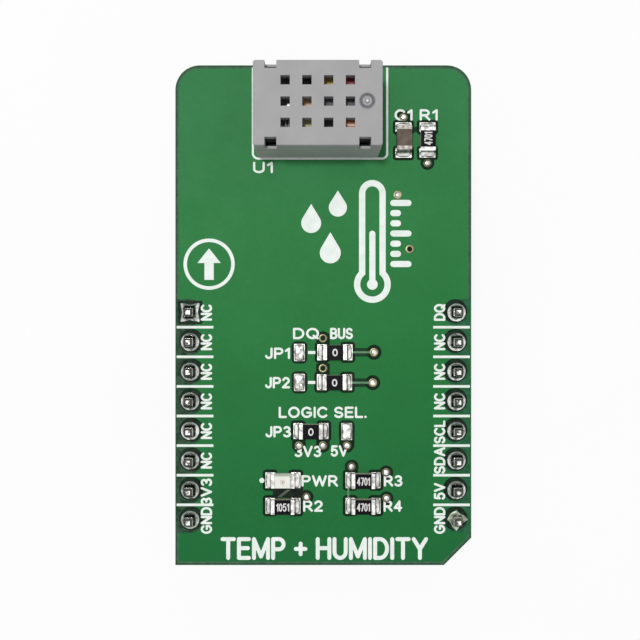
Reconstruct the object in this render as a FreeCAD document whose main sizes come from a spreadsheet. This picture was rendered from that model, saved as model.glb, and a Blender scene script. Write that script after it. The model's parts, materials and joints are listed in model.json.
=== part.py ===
import FreeCAD, Part
import math
import os

import Sketcher

# A plug-in circuit board with a temperature and humidity sensor, seen from above in the XY plane.
# X runs to the right, Y runs up the board towards the sensor, Z is the board's normal.
# The origin is under the board's centre, at the level of the header pins' lower ends.

Vector = FreeCAD.Vector
UP = Vector(0, 0, 1)

# Driving dimensions, in millimetres: alias, value, meaning
DIMENSIONS = [
    ("row_spacing", 22.86, "distance between the two rows of pins"),
    ("side_margin", 1.27, "board beyond each row of pins"),
    ("board_length", 42.9, "board size along Y"),
    ("board_thickness", 1.6, "laminate thickness"),
    ("board_corner_radius", 2.1, "radius of the two corners beside the sensor"),
    ("board_corner_cut", 2.35, "leg of the cut corner"),
    ("pin_count", 8, "pins in one row"),
    ("pin_pitch", 2.54, "distance from pin to pin in a row"),
    ("row_foot", 3.91, "last pin from the board's lower edge"),
    ("pin_width", 0.64, "side of the square pin wire"),
    ("pin_drop", 6.0, "pin length below the spacer"),
    ("pin_tail", 1.1, "pin length above the board"),
    ("pin_end_cut", 0.14, "chamfer at both ends of a pin"),
    ("pin_hole_diameter", 1.0, "hole in the board for a pin"),
    ("pin_clearance", 0.02, "gap round a pin in its spacer"),
    ("spacer_height", 2.54, "height of a header spacer"),
    ("spacer_width", 2.5, "width of a header spacer across the row"),
    ("spacer_cut", 0.45, "corner cut between two places of the spacer"),
    ("joint_radius", 0.8, "radius of a solder joint at the board"),
    ("joint_height", 0.72, "height of a solder joint"),
    ("joint_collar", 0.06, "solder left round the pin's corners at the top of a joint"),
    ("square_pad_side", 1.65, "side of the square pad at pin one"),
    ("copper_height", 0.035, "copper thickness of pads and rings"),
    ("via_hole_diameter", 0.42, "open middle of a via's ring"),
    ("via_ring_diameter", 0.76, "copper ring round a via"),
    ("cover_x", -0.46, "sensor centre along X"),
    ("cover_back_gap", 1.07, "sensor cover from the board's upper edge"),
    ("cover_length", 10.4, "sensor cover along X"),
    ("cover_width", 6.84, "sensor cover along Y"),
    ("cover_height", 4.2, "sensor cover above the board"),
    ("cover_wall", 0.6, "side wall of the cover"),
    ("cover_roof", 0.7, "thickness of the cover's top"),
    ("cover_corner", 0.22, "radius of the cover's upright edges"),
    ("cover_edge", 0.12, "radius round the cover's top"),
    ("window_side", 0.75, "side of a square window"),
    ("window_columns", 4, "windows along X"),
    ("window_rows", 3, "windows along Y"),
    ("window_pitch_x", 1.74, "window to window along X"),
    ("window_pitch_y", 1.7, "window to window along Y"),
    ("window_rise", 0.1, "place of the window grid above the cover's centre"),
    ("notch_width", 0.96, "clip notch along X"),
    ("notch_depth", 0.67, "clip notch in from the side"),
    ("notch_drop", 1.1, "clip notch down the side wall"),
    ("notch_lip", 0.2, "wall left outside a clip arm"),
    ("notch_offset", 3.79, "clip notch from the cover's centre"),
    ("mark_offset_x", 3.95, "moulded mark from the cover's centre along X"),
    ("mark_offset_y", 0.12, "moulded mark from the cover's centre along Y"),
    ("mark_radius", 0.6, "outer radius of the moulded mark"),
    ("mark_groove", 0.2, "width of the mark's sunk ring"),
    ("mark_sink", 0.08, "depth of the mark's sunk ring"),
    ("mark_dot", 0.16, "radius of the mark's raised dot"),
    ("mark_dot_rise", 0.07, "height of the mark's raised dot"),
    ("base_height", 0.8, "plate of the sensor's base tray"),
    ("base_clearance", 0.03, "gap between base tray and cover"),
    ("arm_thickness", 0.3, "clip arm of the base tray"),
    ("arm_height", 2.3, "top of a clip arm above the board"),
    ("arm_side_gap", 0.08, "gap beside a clip arm"),
    ("post_side", 0.9, "side of a post that carries the inner board"),
    ("post_inset", 0.35, "post in from the inner board's corner"),
    ("head_room", 1.2, "space between the inner board and the cover's top"),
    ("inner_thickness", 0.6, "inner board thickness"),
    ("inner_clearance", 0.06, "gap round the inner board"),
    ("lead_count", 4, "sensor leads"),
    ("lead_pitch", 1.27, "distance from lead to lead"),
    ("lead_inset", 0.36, "row of leads from the inner board's front edge"),
    ("lead_width", 0.4, "side of the square sensor lead"),
    ("lead_rise", 0.35, "lead above the inner board"),
    ("lead_drop", 1.1, "lead below the main board"),
    ("lead_hole_diameter", 0.8, "hole in the main board for a lead"),
    ("lead_clearance", 0.01, "gap round a lead in the tray and inner board"),
    ("lead_joint_radius", 0.62, "solder joint of a lead at the board"),
    ("lead_joint_height", 0.7, "height of a lead's solder joint"),
    ("capacitor_gap", 2.14, "capacitor's centre from the sensor cover's right side"),
    ("capacitor_fall", 1.93, "capacitor's centre below the sensor's centre"),
    ("resistor_gap", 2.06, "first resistor's centre from the capacitor's"),
    ("side_via_gap", 1.96, "via of these two parts from their centres"),
    ("chip_length", 2.0, "small part over its end caps"),
    ("chip_width", 1.25, "small part width"),
    ("resistor_height", 0.5, "resistor and link height"),
    ("capacitor_height", 0.9, "capacitor height"),
    ("cap_length", 0.3, "end cap along the part"),
    ("cap_wall", 0.04, "end cap metal"),
    ("coat_rise", 0.02, "body above its end caps"),
    ("fillet_length", 0.45, "solder fillet out from an end cap"),
    ("fillet_share", 0.8, "fillet height as a share of the part's height"),
    ("pad_margin", 0.05, "pad beyond the solder fillet and beside it"),
    ("led_base_height", 0.35, "light emitting diode base"),
    ("led_lens_length", 1.5, "lens along the diode"),
    ("led_lens_height", 0.45, "lens above the base"),
    ("led_lens_draft", 0.12, "lens edge drawn in towards the top"),
    ("open_pad_length", 0.9, "bare link pad along X"),
    ("open_pad_width", 1.45, "bare link pad along Y"),
    ("open_solder_height", 0.22, "solder on a bare link pad"),
    ("print_height", 0.03, "thickness of the white print"),
    ("divider_width", 0.22, "printed line between two pins"),
    ("divider_length", 3.15, "length of such a line"),
    ("divider_inset", 0.12, "line end from the board's edge"),
    ("outline_width", 0.18, "printed outline round the sensor"),
    ("outline_gap_left", 0.38, "outline from the cover's left side"),
    ("outline_gap_right", 0.74, "outline from the cover's right side"),
    ("outline_gap_front", 0.1, "outline from the cover's front side"),
    ("outline_edge_gap", 0.2, "outline from the board's edge"),
    ("outline_corner", 0.45, "rounded corner of the outline"),
    ("tube_x", 4.21, "thermometer axis"),
    ("tube_top_y", 11.6, "top of the thermometer"),
    ("tube_half_width", 1.146, "outer half width of the tube"),
    ("tube_line", 0.54, "printed line of the thermometer"),
    ("bulb_y", 2.64, "centre of the bulb"),
    ("bulb_radius", 1.58, "outer radius of the bulb"),
    ("column_half_width", 0.262, "half width of the column in the tube"),
    ("column_top_y", 7.25, "top of the column"),
    ("column_dot_radius", 0.46, "dot at the foot of the column"),
    ("tick_start_x", 5.74, "inner end of the scale ticks"),
    ("tick_long", 1.83, "long scale tick"),
    ("tick_short", 0.93, "short scale tick"),
    ("tick_width", 0.53, "thickness of a tick"),
    ("tick_top_y", 9.63, "first tick"),
    ("tick_pitch", 0.873, "tick to tick"),
    ("sign_x", -9.8, "centre of the printed sign along X"),
    ("sign_y", 4.38, "centre of the printed sign along Y"),
    ("sign_radius", 2.2, "outer radius of the sign's ring"),
    ("sign_line", 0.3, "line of the sign's ring"),
    ("arrow_length", 2.7, "arrow in the sign from foot to tip"),
    ("arrow_head_width", 2.0, "width of the arrow's head"),
    ("arrow_head_length", 1.25, "length of the arrow's head"),
    ("arrow_shaft_width", 0.8, "width of the arrow's shaft"),
    ("dash_length", 0.62, "printed dash between a bare pad and its link"),
    ("dash_width", 0.26, "width of such a dash"),
    ("resistor_two_x", -3.46, "resistor beside the diode"),
    ("resistor_two_y", -16.36, "the same along Y"),
    ("resistor_three_x", 3.41, "upper resistor of the right pair"),
    ("resistor_three_y", -14.16, "the same along Y"),
    ("resistor_four_x", 3.41, "lower resistor of the right pair"),
    ("resistor_four_y", -16.35, "the same along Y"),
    ("link_one_x", 1.0, "upper link"),
    ("link_one_y", -3.18, "the same along Y"),
    ("link_two_x", 0.96, "middle link"),
    ("link_two_y", -5.75, "the same along Y"),
    ("link_three_x", -1.06, "lower link"),
    ("link_three_y", -9.94, "the same along Y"),
    ("diode_x", -3.46, "light emitting diode"),
    ("diode_y", -14.16, "the same along Y"),
]

OPEN_PADS = [(-2.05, -3.2), (-2.05, -5.77), (2.01, -9.98)]
DASHES = [(-1.0, -3.2), (-1.0, -5.77)]
VIAS = [
    (4.35, -3.18), (-0.03, -1.98), (4.25, -5.79), (-0.03, -4.56),
    (-0.03, -11.19), (-2.09, -11.2), (2.03, -11.2), (-1.44, -15.6),
    (2.43, -13.0), (5.4, -13.5), (5.42, -15.72), (6.39, 10.34), (7.42, 5.68),
]
# Drops: tip X, tip Y, distance from tip to the round part's centre, radius of the round part
DROPS = [(-1.04, 9.55, 1.64, 0.854), (1.25, 10.7, 1.46, 0.781), (0.6, 7.12, 1.77, 0.901)]
# Scale ticks from the top, long or short
TICKS = ["long", "short", "short", "long", "short", "short", "long"]
# Parts on the sensor's inner board: name, X from the sensor's centre, where its Y is measured from (the
# sensor's middle, the inner board's back edge or the row of leads), distance there, length, width, height
INNER_PARTS = [
    ("sensor_chip", 1.7, "middle", 0.33, 2.7, 1.4, 0.75),
    ("humidity_element", -0.85, "leads", 0.28, 1.3, 3.0, 0.5),
    ("temperature_element", 0.86, "back", 0.24, 1.0, 0.7, 0.5),
    ("sensor_diode", 2.62, "back", 0.19, 1.1, 0.8, 0.6),
    ("sensor_capacitor", 2.62, "leads", 0.56, 1.2, 0.8, 0.8),
]
# Small chips beside them, each with two white end caps: X and Y from the sensor's centre
INNER_CHIPS = [(-2.03, 0.2), (-2.58, -1.3)]
INNER_CHIP_LENGTH = 1.0
INNER_CHIP_WIDTH = 0.5
INNER_CHIP_HEIGHT = 0.35
INNER_CAP_LENGTH = 0.2

# Sides of the polygons that stand for small repeated circles
JOINT_SIDES = 16
VIA_SIDES = 10
BAR_END_SIDES = 6

document = FreeCAD.newDocument("sensor_module")
sheet = document.addObject("Spreadsheet::Sheet", "sizes")
for row, (alias, value, meaning) in enumerate(DIMENSIONS, start=1):
    sheet.set(f"A{row}", alias)
    sheet.set(f"B{row}", str(value))
    sheet.set(f"C{row}", meaning)
    sheet.setAlias(f"B{row}", alias)
document.recompute()
size = {alias: float(sheet.get(alias)) for alias, value, meaning in DIMENSIONS}

# Sizes and places that follow from others, as expressions and as numbers
BOARD_WIDTH = "(sizes.row_spacing + 2 * sizes.side_margin)"
BOARD_FLOOR = "sizes.pin_drop + sizes.spacer_height"
BOARD_TOP = BOARD_FLOOR + " + sizes.board_thickness"
FIRST_PIN_Y = "sizes.row_foot - sizes.board_length / 2 + (sizes.pin_count - 1) * sizes.pin_pitch"
COVER_Y = "sizes.board_length / 2 - sizes.cover_back_gap - sizes.cover_width / 2"
LEAD_ROW_Y = (COVER_Y + " + sizes.lead_inset - sizes.cover_width / 2 + sizes.inner_clearance"
              " + max(sizes.cover_wall; sizes.notch_depth)")
INNER_TOP = BOARD_TOP + " + sizes.cover_height - sizes.cover_roof - sizes.head_room"
board_width = size["row_spacing"] + 2 * size["side_margin"]
board_floor = size["pin_drop"] + size["spacer_height"]
board_top = board_floor + size["board_thickness"]
part_floor = board_top + size["copper_height"]
inner_rise = size["cover_height"] - size["cover_roof"] - size["head_room"]
inner_floor = inner_rise - size["inner_thickness"]
inner_top = board_top + inner_rise
pin_count = int(size["pin_count"])
first_pin_y = size["row_foot"] - size["board_length"] / 2 + (pin_count - 1) * size["pin_pitch"]
cover_y = size["board_length"] / 2 - size["cover_back_gap"] - size["cover_width"] / 2
row_places = {"left": -size["row_spacing"] / 2, "right": size["row_spacing"] / 2}

# Places of the small parts: name, X, Y, turned a quarter or not.
# The capacitor and the first resistor stand beside the sensor, each with a via.
capacitor_x = size["cover_x"] + size["cover_length"] / 2 + size["capacitor_gap"]
capacitor_y = cover_y - size["capacitor_fall"]
resistor_one_x = capacitor_x + size["resistor_gap"]
CAPACITOR = ("capacitor_body", capacitor_x, capacitor_y, True)
RESISTORS = [("resistor_one", resistor_one_x, capacitor_y, True)]
RESISTORS += [(name, size[f"{name}_x"], size[f"{name}_y"], False)
              for name in ("resistor_two", "resistor_three", "resistor_four")]
LINKS = [(name, size[f"{name}_x"], size[f"{name}_y"], False)
         for name in ("link_one", "link_two", "link_three")]
DIODE = ("diode", size["diode_x"], size["diode_y"], False)
VIAS.append((capacitor_x, capacitor_y + size["side_via_gap"]))
VIAS.append((resistor_one_x, capacitor_y - size["side_via_gap"]))

parts = []


def expression(target, name, text):
    """Bind one property of an object to the sheet."""
    target.setExpression(name, text)


def new_body(name, x="0 mm", y="0 mm", z="0 mm"):
    """A body whose own origin sits at x, y, z of the part's frame."""
    body = document.addObject("PartDesign::Body", name)
    body.Label = name
    expression(body, ".Placement.Base.x", x)
    expression(body, ".Placement.Base.y", y)
    expression(body, ".Placement.Base.z", z)
    parts.append(body)
    return body


def origin_of(body, role):
    return next(item for item in body.Origin.OriginFeatures if item.Role == role)


def new_sketch(body, name, x="0 mm", y="0 mm", z="0 mm"):
    """A sketch on the body's XY plane, moved to x, y, z."""
    sketch = body.newObject("Sketcher::SketchObject", name)
    sketch.AttachmentSupport = [(origin_of(body, "XY_Plane"), "")]
    sketch.MapMode = "FlatFace"
    expression(sketch, ".AttachmentOffset.Base.x", x)
    expression(sketch, ".AttachmentOffset.Base.y", y)
    expression(sketch, ".AttachmentOffset.Base.z", z)
    return sketch


def bind(sketch, constraint, name, text):
    """Add a named dimension to a sketch and bind it to the sheet."""
    index = sketch.addConstraint(constraint)
    sketch.renameConstraint(index, name)
    expression(sketch, f"Constraints.{name}", text)


def draw_rectangle(sketch, width, length):
    """A rectangle round the sketch's own origin."""
    corners = [Vector(-1, -1, 0), Vector(1, -1, 0), Vector(1, 1, 0), Vector(-1, 1, 0)]
    for index in range(4):
        sketch.addGeometry(Part.LineSegment(corners[index], corners[(index + 1) % 4]), False)
    for index in range(4):
        sketch.addConstraint(Sketcher.Constraint("Coincident", index, 2, (index + 1) % 4, 1))
    for index, direction in enumerate(("Horizontal", "Vertical", "Horizontal", "Vertical")):
        sketch.addConstraint(Sketcher.Constraint(direction, index))
    sketch.addConstraint(Sketcher.Constraint("Symmetric", 0, 1, 2, 1, -1, 1))
    bind(sketch, Sketcher.Constraint("DistanceX", 0, 1, 0, 2, 2.0), "width", width)
    bind(sketch, Sketcher.Constraint("DistanceY", 1, 1, 1, 2, 2.0), "length", length)


def draw_circle(sketch, diameter):
    """A circle round the sketch's own origin."""
    circle = sketch.addGeometry(Part.Circle(Vector(0, 0, 0), UP, 1.0), False)
    sketch.addConstraint(Sketcher.Constraint("Coincident", circle, 3, -1, 1))
    bind(sketch, Sketcher.Constraint("Diameter", circle, 2.0), "across", diameter)


def pad(body, name, sketch, length, reverse=False):
    feature = body.newObject("PartDesign::Pad", name)
    feature.Profile = sketch
    expression(feature, "Length", length)
    feature.Reversed = reverse
    return feature


def pocket(body, name, sketch, depth=None, upwards=False):
    """A cut from the sketch, downwards unless told otherwise; without a depth it goes right through."""
    feature = body.newObject("PartDesign::Pocket", name)
    feature.Profile = sketch
    if depth is None:
        feature.Type = "ThroughAll"
    else:
        expression(feature, "Length", depth)
    feature.Reversed = upwards
    return feature


def row_pattern(body, name, features, axis, pitch, count, reverse=False):
    pattern = body.newObject("PartDesign::LinearPattern", name)
    pattern.Originals = features
    pattern.Direction = (origin_of(body, axis), [""])
    pattern.Reversed = reverse
    pattern.Mode = "Spacing"
    expression(pattern, "Offset", pitch)
    expression(pattern, "Occurrences", count)
    body.Tip = pattern
    return pattern


def edges_at(shape, wanted):
    """Names of the edges whose middle point passes the test."""
    names = []
    for index, edge in enumerate(shape.Edges, start=1):
        middle = edge.valueAt((edge.FirstParameter + edge.LastParameter) / 2)
        if wanted(middle):
            names.append(f"Edge{index}")
    return names


def near(first, second):
    return abs(first - second) < 1e-4


def new_feature(name, shape, place=None):
    """A plain feature that holds a shape worked out from the sheet's sizes."""
    feature = document.addObject("Part::Feature", name)
    feature.Label = name
    feature.Shape = shape
    if place is not None:
        feature.Placement = place
    parts.append(feature)
    return feature


def new_group(name, shapes):
    """Like pieces that share one node as separate solids."""
    return new_feature(name, Part.makeCompound(shapes))


def block(length, width, height, x=0.0, y=0.0, z=0.0):
    """A box centred on x, y that stands on z."""
    return Part.makeBox(length, width, height, Vector(x - length / 2, y - width / 2, z))


def moved(shape, x, y, z=0.0, quarter=False):
    """A copy of the shape, turned a quarter about Z if asked, then moved."""
    copy = shape.copy()
    if quarter:
        copy.rotate(Vector(0, 0, 0), UP, 90)
    copy.translate(Vector(x, y, z))
    return copy


# The circuit board
def make_board():
    body = new_body("circuit_board", z=BOARD_FLOOR)
    outline = new_sketch(body, "board_outline")
    draw_rectangle(outline, BOARD_WIDTH, "sizes.board_length")
    plate = pad(body, "board_plate", outline, "sizes.board_thickness")
    document.recompute()
    half_width = board_width / 2
    half_length = size["board_length"] / 2
    rounding = body.newObject("PartDesign::Fillet", "board_round_corners")
    upper = edges_at(plate.Shape, lambda p: near(abs(p.x), half_width) and near(p.y, half_length))
    rounding.Base = (plate, upper)
    expression(rounding, "Radius", "sizes.board_corner_radius")
    document.recompute()
    corner = body.newObject("PartDesign::Chamfer", "board_cut_corner")
    lower_right = edges_at(rounding.Shape, lambda p: near(p.x, half_width) and near(p.y, -half_length))
    corner.Base = (rounding, lower_right)
    expression(corner, "Size", "sizes.board_corner_cut")
    for side, sign in (("left", "-"), ("right", "")):
        hole = new_sketch(body, f"pin_hole_{side}", f"{sign}sizes.row_spacing / 2", FIRST_PIN_Y,
                          "sizes.board_thickness")
        draw_circle(hole, "sizes.pin_hole_diameter")
        cut = pocket(body, f"pin_hole_cut_{side}", hole)
        row_pattern(body, f"pin_holes_{side}", [cut], "Y_Axis", "sizes.pin_pitch", "sizes.pin_count", True)
    lead = new_sketch(body, "lead_hole", "sizes.cover_x - (sizes.lead_count - 1) * sizes.lead_pitch / 2",
                      LEAD_ROW_Y, "sizes.board_thickness")
    draw_circle(lead, "sizes.lead_hole_diameter")
    cut = pocket(body, "lead_hole_cut", lead)
    row_pattern(body, "lead_holes", [cut], "X_Axis", "sizes.lead_pitch", "sizes.lead_count")


# The two headers: spacer, pins and solder joints
def make_spacer(side, sign):
    body = new_body(f"header_spacer_{side}", f"{sign}sizes.row_spacing / 2", FIRST_PIN_Y, "sizes.pin_drop")
    place = new_sketch(body, f"spacer_place_{side}")
    draw_rectangle(place, "sizes.spacer_width", "sizes.pin_pitch")
    cell = pad(body, f"spacer_cell_{side}", place, "sizes.spacer_height")
    document.recompute()
    edges = edges_at(cell.Shape, lambda p: near(abs(p.x), size["spacer_width"] / 2)
                     and near(abs(p.y), size["pin_pitch"] / 2))
    waist = body.newObject("PartDesign::Chamfer", f"spacer_waist_{side}")
    waist.Base = (cell, edges)
    expression(waist, "Size", "sizes.spacer_cut")
    hole = new_sketch(body, f"spacer_hole_{side}", z="sizes.spacer_height")
    across = "sizes.pin_width + 2 * sizes.pin_clearance"
    draw_rectangle(hole, across, across)
    pocket(body, f"spacer_bore_{side}", hole)
    pattern = row_pattern(body, f"spacer_row_{side}", [], "Y_Axis", "sizes.pin_pitch", "sizes.pin_count",
                          True)
    pattern.TransformMode = "Whole shape"


def make_pin(side, sign, index):
    name = f"header_pin_{side}_{index + 1}"
    body = new_body(name, f"{sign}sizes.row_spacing / 2", f"{FIRST_PIN_Y} - {index} * sizes.pin_pitch")
    section = new_sketch(body, f"{name}_section")
    draw_rectangle(section, "sizes.pin_width", "sizes.pin_width")
    wire = pad(body, f"{name}_wire", section, f"{BOARD_TOP} + sizes.pin_tail")
    document.recompute()
    top = board_top + size["pin_tail"]
    ends = body.newObject("PartDesign::Chamfer", f"{name}_ends")
    ends.Base = (wire, edges_at(wire.Shape, lambda p: near(p.z, 0) or near(p.z, top)))
    expression(ends, "Size", "sizes.pin_end_cut")


def polygon_ring(radius, height, sides):
    """A regular polygon round the Z axis, as a closed wire."""
    turn = 2 * math.pi / sides
    corners = [Vector(radius * math.cos(turn * index), radius * math.sin(turn * index), height)
               for index in range(sides)]
    return Part.makePolygon(corners + corners[:1])


def flank_waist(foot, collar, height):
    """Radius and height of the hollow flank's middle, well inside the straight line from foot to collar."""
    return collar + (foot - collar) * 0.3, height * 0.38


def round_joint(radius, height, wire_width):
    """Solder round a square wire: a steep cone with a hollow flank, with the wire's space cut out."""
    collar = wire_width / math.sqrt(2) + size["joint_collar"]
    waist, waist_height = flank_waist(radius, collar, height)
    levels = [(radius, 0), (waist, waist_height), (collar, height)]
    rings = [polygon_ring(across, level, JOINT_SIDES) for across, level in levels]
    return Part.makeLoft(rings, True, True).cut(block(wire_width, wire_width, height))


def square_joint(side, height, wire_width):
    """Solder on a square pad: its four flanks are hollow and its corners run out to the pad's corners."""
    collar = wire_width / 2 + size["joint_collar"]
    waist, waist_height = flank_waist(side / 2, collar, height)
    foot = Vector(side / 2, 0, 0)
    head = Vector(collar, 0, height)
    outline = Part.Wire([
        Part.makeLine(Vector(0, 0, 0), foot),
        Part.Arc(foot, Vector(waist, 0, waist_height), head).toShape(),
        Part.makeLine(head, Vector(0, 0, height)),
        Part.makeLine(Vector(0, 0, height), Vector(0, 0, 0)),
    ])
    wedge = Part.Face(outline).extrude(Vector(0, side, 0))
    wedge.translate(Vector(0, -side / 2, 0))
    ridge = wedge.fuse(wedge.mirror(Vector(0, 0, 0), Vector(1, 0, 0))).removeSplitter()
    crossing = ridge.copy()
    crossing.rotate(Vector(0, 0, 0), UP, 90)
    return ridge.common(crossing).cut(block(wire_width, wire_width, height))


def make_headers():
    joint = round_joint(size["joint_radius"], size["joint_height"], size["pin_width"])
    first = square_joint(size["square_pad_side"], size["joint_height"], size["pin_width"])
    for side, sign in (("left", "-"), ("right", "")):
        make_spacer(side, sign)
        joints = []
        for index in range(pin_count):
            make_pin(side, sign, index)
            shape = first if side == "left" and index == 0 else joint
            pin_y = first_pin_y - index * size["pin_pitch"]
            joints.append(moved(shape, row_places[side], pin_y, board_top))
        new_group(f"header_solder_{side}", joints)


# The sensor: cover, base tray, inner board and what stands on it, leads
def make_cover():
    body = new_body("sensor_cover", "sizes.cover_x", COVER_Y, BOARD_TOP)
    outside = new_sketch(body, "cover_outside")
    draw_rectangle(outside, "sizes.cover_length", "sizes.cover_width")
    solid = pad(body, "cover_solid", outside, "sizes.cover_height")
    document.recompute()
    half_length = size["cover_length"] / 2
    half_width = size["cover_width"] / 2
    height = size["cover_height"]
    upright = body.newObject("PartDesign::Fillet", "cover_upright_edges")
    corners = edges_at(solid.Shape, lambda p: near(abs(p.x), half_length) and near(abs(p.y), half_width))
    upright.Base = (solid, corners)
    expression(upright, "Radius", "sizes.cover_corner")
    document.recompute()
    rim = body.newObject("PartDesign::Fillet", "cover_top_edge")
    rim.Base = (upright, edges_at(upright.Shape, lambda p: near(p.z, height)))
    expression(rim, "Radius", "sizes.cover_edge")
    inside = new_sketch(body, "cover_inside")
    draw_rectangle(inside, "sizes.cover_length - 2 * sizes.cover_wall",
                   "sizes.cover_width - 2 * sizes.cover_wall")
    pocket(body, "cover_hollow", inside, "sizes.cover_height - sizes.cover_roof", upwards=True)

    window = new_sketch(body, "window", "-(sizes.window_columns - 1) * sizes.window_pitch_x / 2",
                        "sizes.window_rise - (sizes.window_rows - 1) * sizes.window_pitch_y / 2",
                        "sizes.cover_height")
    draw_rectangle(window, "sizes.window_side", "sizes.window_side")
    opening = pocket(body, "window_cut", window, "sizes.cover_roof + sizes.cover_wall / 2")
    grid = body.newObject("PartDesign::LinearPattern", "window_grid")
    grid.Originals = [opening]
    grid.Direction = (origin_of(body, "X_Axis"), [""])
    grid.Mode = "Spacing"
    expression(grid, "Offset", "sizes.window_pitch_x")
    expression(grid, "Occurrences", "sizes.window_columns")
    grid.Direction2 = (origin_of(body, "Y_Axis"), [""])
    grid.Mode2 = "Spacing"
    expression(grid, "Offset2", "sizes.window_pitch_y")
    expression(grid, "Occurrences2", "sizes.window_rows")
    document.recompute()
    grid.Spacings2 = [-1.0] * (int(size["window_rows"]) - 1)
    body.Tip = grid

    # Each notch is open at the top and outwards, and runs down inside a thin lip as the clip arm's pocket
    for index, (across, along) in enumerate((("", ""), ("-", ""), ("", "-"), ("-", "-")), start=1):
        mouth = new_sketch(body, f"notch_mouth_{index}", f"{across}sizes.notch_offset",
                           f"{along}(sizes.cover_width / 2 - sizes.notch_depth / 2)", "sizes.cover_height")
        draw_rectangle(mouth, "sizes.notch_width", "sizes.notch_depth")
        pocket(body, f"notch_mouth_cut_{index}", mouth, "sizes.notch_drop")
        slot = new_sketch(body, f"arm_slot_{index}", f"{across}sizes.notch_offset",
                          f"{along}(sizes.cover_width / 2 - (sizes.notch_depth + sizes.notch_lip) / 2)")
        draw_rectangle(slot, "sizes.notch_width", "sizes.notch_depth - sizes.notch_lip")
        reach = "sizes.cover_height - sizes.notch_drop / 2"
        pocket(body, f"arm_slot_cut_{index}", slot, reach, upwards=True)

    ring = new_sketch(body, "mark_ring", "sizes.mark_offset_x", "sizes.mark_offset_y", "sizes.cover_height")
    draw_circle(ring, "2 * sizes.mark_radius")
    inner = ring.addGeometry(Part.Circle(Vector(0, 0, 0), UP, 0.5), False)
    ring.addConstraint(Sketcher.Constraint("Coincident", inner, 3, -1, 1))
    bind(ring, Sketcher.Constraint("Diameter", inner, 1.0), "inside",
         "2 * (sizes.mark_radius - sizes.mark_groove)")
    pocket(body, "mark_groove_cut", ring, "sizes.mark_sink")
    dot = new_sketch(body, "mark_dot_circle", "sizes.mark_offset_x", "sizes.mark_offset_y",
                     "sizes.cover_height")
    draw_circle(dot, "2 * sizes.mark_dot")
    body.Tip = pad(body, "mark_dot_pad", dot, "sizes.mark_dot_rise")


def make_base():
    """The tray that the cover clips on: plate, four posts, four clip arms, four lead holes."""
    length = size["cover_length"] - 2 * (size["cover_wall"] + size["base_clearance"])
    width = size["cover_width"] - 2 * (size["cover_wall"] + size["base_clearance"])
    tray = block(length, width, size["base_height"])
    inner_length, inner_width = inner_board_size()
    post_x = inner_length / 2 - size["post_inset"] - size["post_side"] / 2
    post_y = inner_width / 2 - size["post_inset"] - size["post_side"] / 2
    arm_width = size["notch_width"] - 2 * size["arm_side_gap"]
    arm_outer = size["cover_width"] / 2 - size["notch_lip"] - size["base_clearance"]
    ear = arm_outer - width / 2 + size["arm_thickness"]
    for across in (-1, 1):
        for along in (-1, 1):
            post = block(size["post_side"], size["post_side"], inner_floor, across * post_x,
                         along * post_y)
            foot = block(arm_width, ear, size["base_height"], across * size["notch_offset"],
                         along * (arm_outer - ear / 2))
            arm = block(arm_width, size["arm_thickness"], size["arm_height"], across * size["notch_offset"],
                        along * (arm_outer - size["arm_thickness"] / 2))
            tray = tray.fuse([post, foot, arm])
    tray = tray.removeSplitter()
    for x, y in lead_places():
        hole = size["lead_width"] + 2 * size["lead_clearance"]
        tray = tray.cut(block(hole, hole, inner_floor, x, y))
    new_feature("sensor_base", tray, sensor_place())


def sensor_place():
    return FreeCAD.Placement(Vector(size["cover_x"], cover_y, board_top), FreeCAD.Rotation())


def inner_board_size():
    """Length and width: the board clears the walls of the cover and the arms' slots."""
    length = size["cover_length"] - 2 * (size["cover_wall"] + size["inner_clearance"])
    deepest = max(size["cover_wall"], size["notch_depth"])
    width = size["cover_width"] - 2 * (deepest + size["inner_clearance"])
    return length, width


def lead_row_y():
    """Y of the row of leads from the sensor's centre, near the inner board's front edge."""
    return size["lead_inset"] - inner_board_size()[1] / 2


def lead_places():
    count = int(size["lead_count"])
    first = -(count - 1) * size["lead_pitch"] / 2
    return [(first + index * size["lead_pitch"], lead_row_y()) for index in range(count)]


def make_inner_board():
    length, width = inner_board_size()
    plate = block(length, width, size["inner_thickness"])
    hole = size["lead_width"] + 2 * size["lead_clearance"]
    for x, y in lead_places():
        plate = plate.cut(block(hole, hole, size["inner_thickness"], x, y))
    place = sensor_place()
    place.Base.z += inner_floor
    new_feature("sensor_inner_board", plate, place)


def make_inner_parts():
    back_edge = inner_board_size()[1] / 2
    for name, x, reference, distance, length, width, height in INNER_PARTS:
        if reference == "middle":
            y = distance
        elif reference == "back":
            y = back_edge - distance - width / 2
        else:
            y = lead_row_y() + distance + width / 2
        part = document.addObject("Part::Box", name)
        part.Label = name
        part.Length = length
        part.Width = width
        part.Height = height
        expression(part, ".Placement.Base.x", f"sizes.cover_x + ({x - length / 2})")
        expression(part, ".Placement.Base.y", f"{COVER_Y} + ({y - width / 2})")
        expression(part, ".Placement.Base.z", INNER_TOP)
        parts.append(part)
    middle = INNER_CHIP_LENGTH - 2 * INNER_CAP_LENGTH
    chips = []
    caps = []
    for x, y in INNER_CHIPS:
        centre_x = size["cover_x"] + x
        centre_y = cover_y + y
        chips.append(block(middle, INNER_CHIP_WIDTH, INNER_CHIP_HEIGHT, centre_x, centre_y, inner_top))
        for side in (-1, 1):
            cap_x = centre_x + side * (middle + INNER_CAP_LENGTH) / 2
            caps.append(block(INNER_CAP_LENGTH, INNER_CHIP_WIDTH, INNER_CHIP_HEIGHT, cap_x, centre_y,
                              inner_top))
    new_group("sensor_small_chips", chips)
    new_group("sensor_small_caps", caps)


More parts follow.
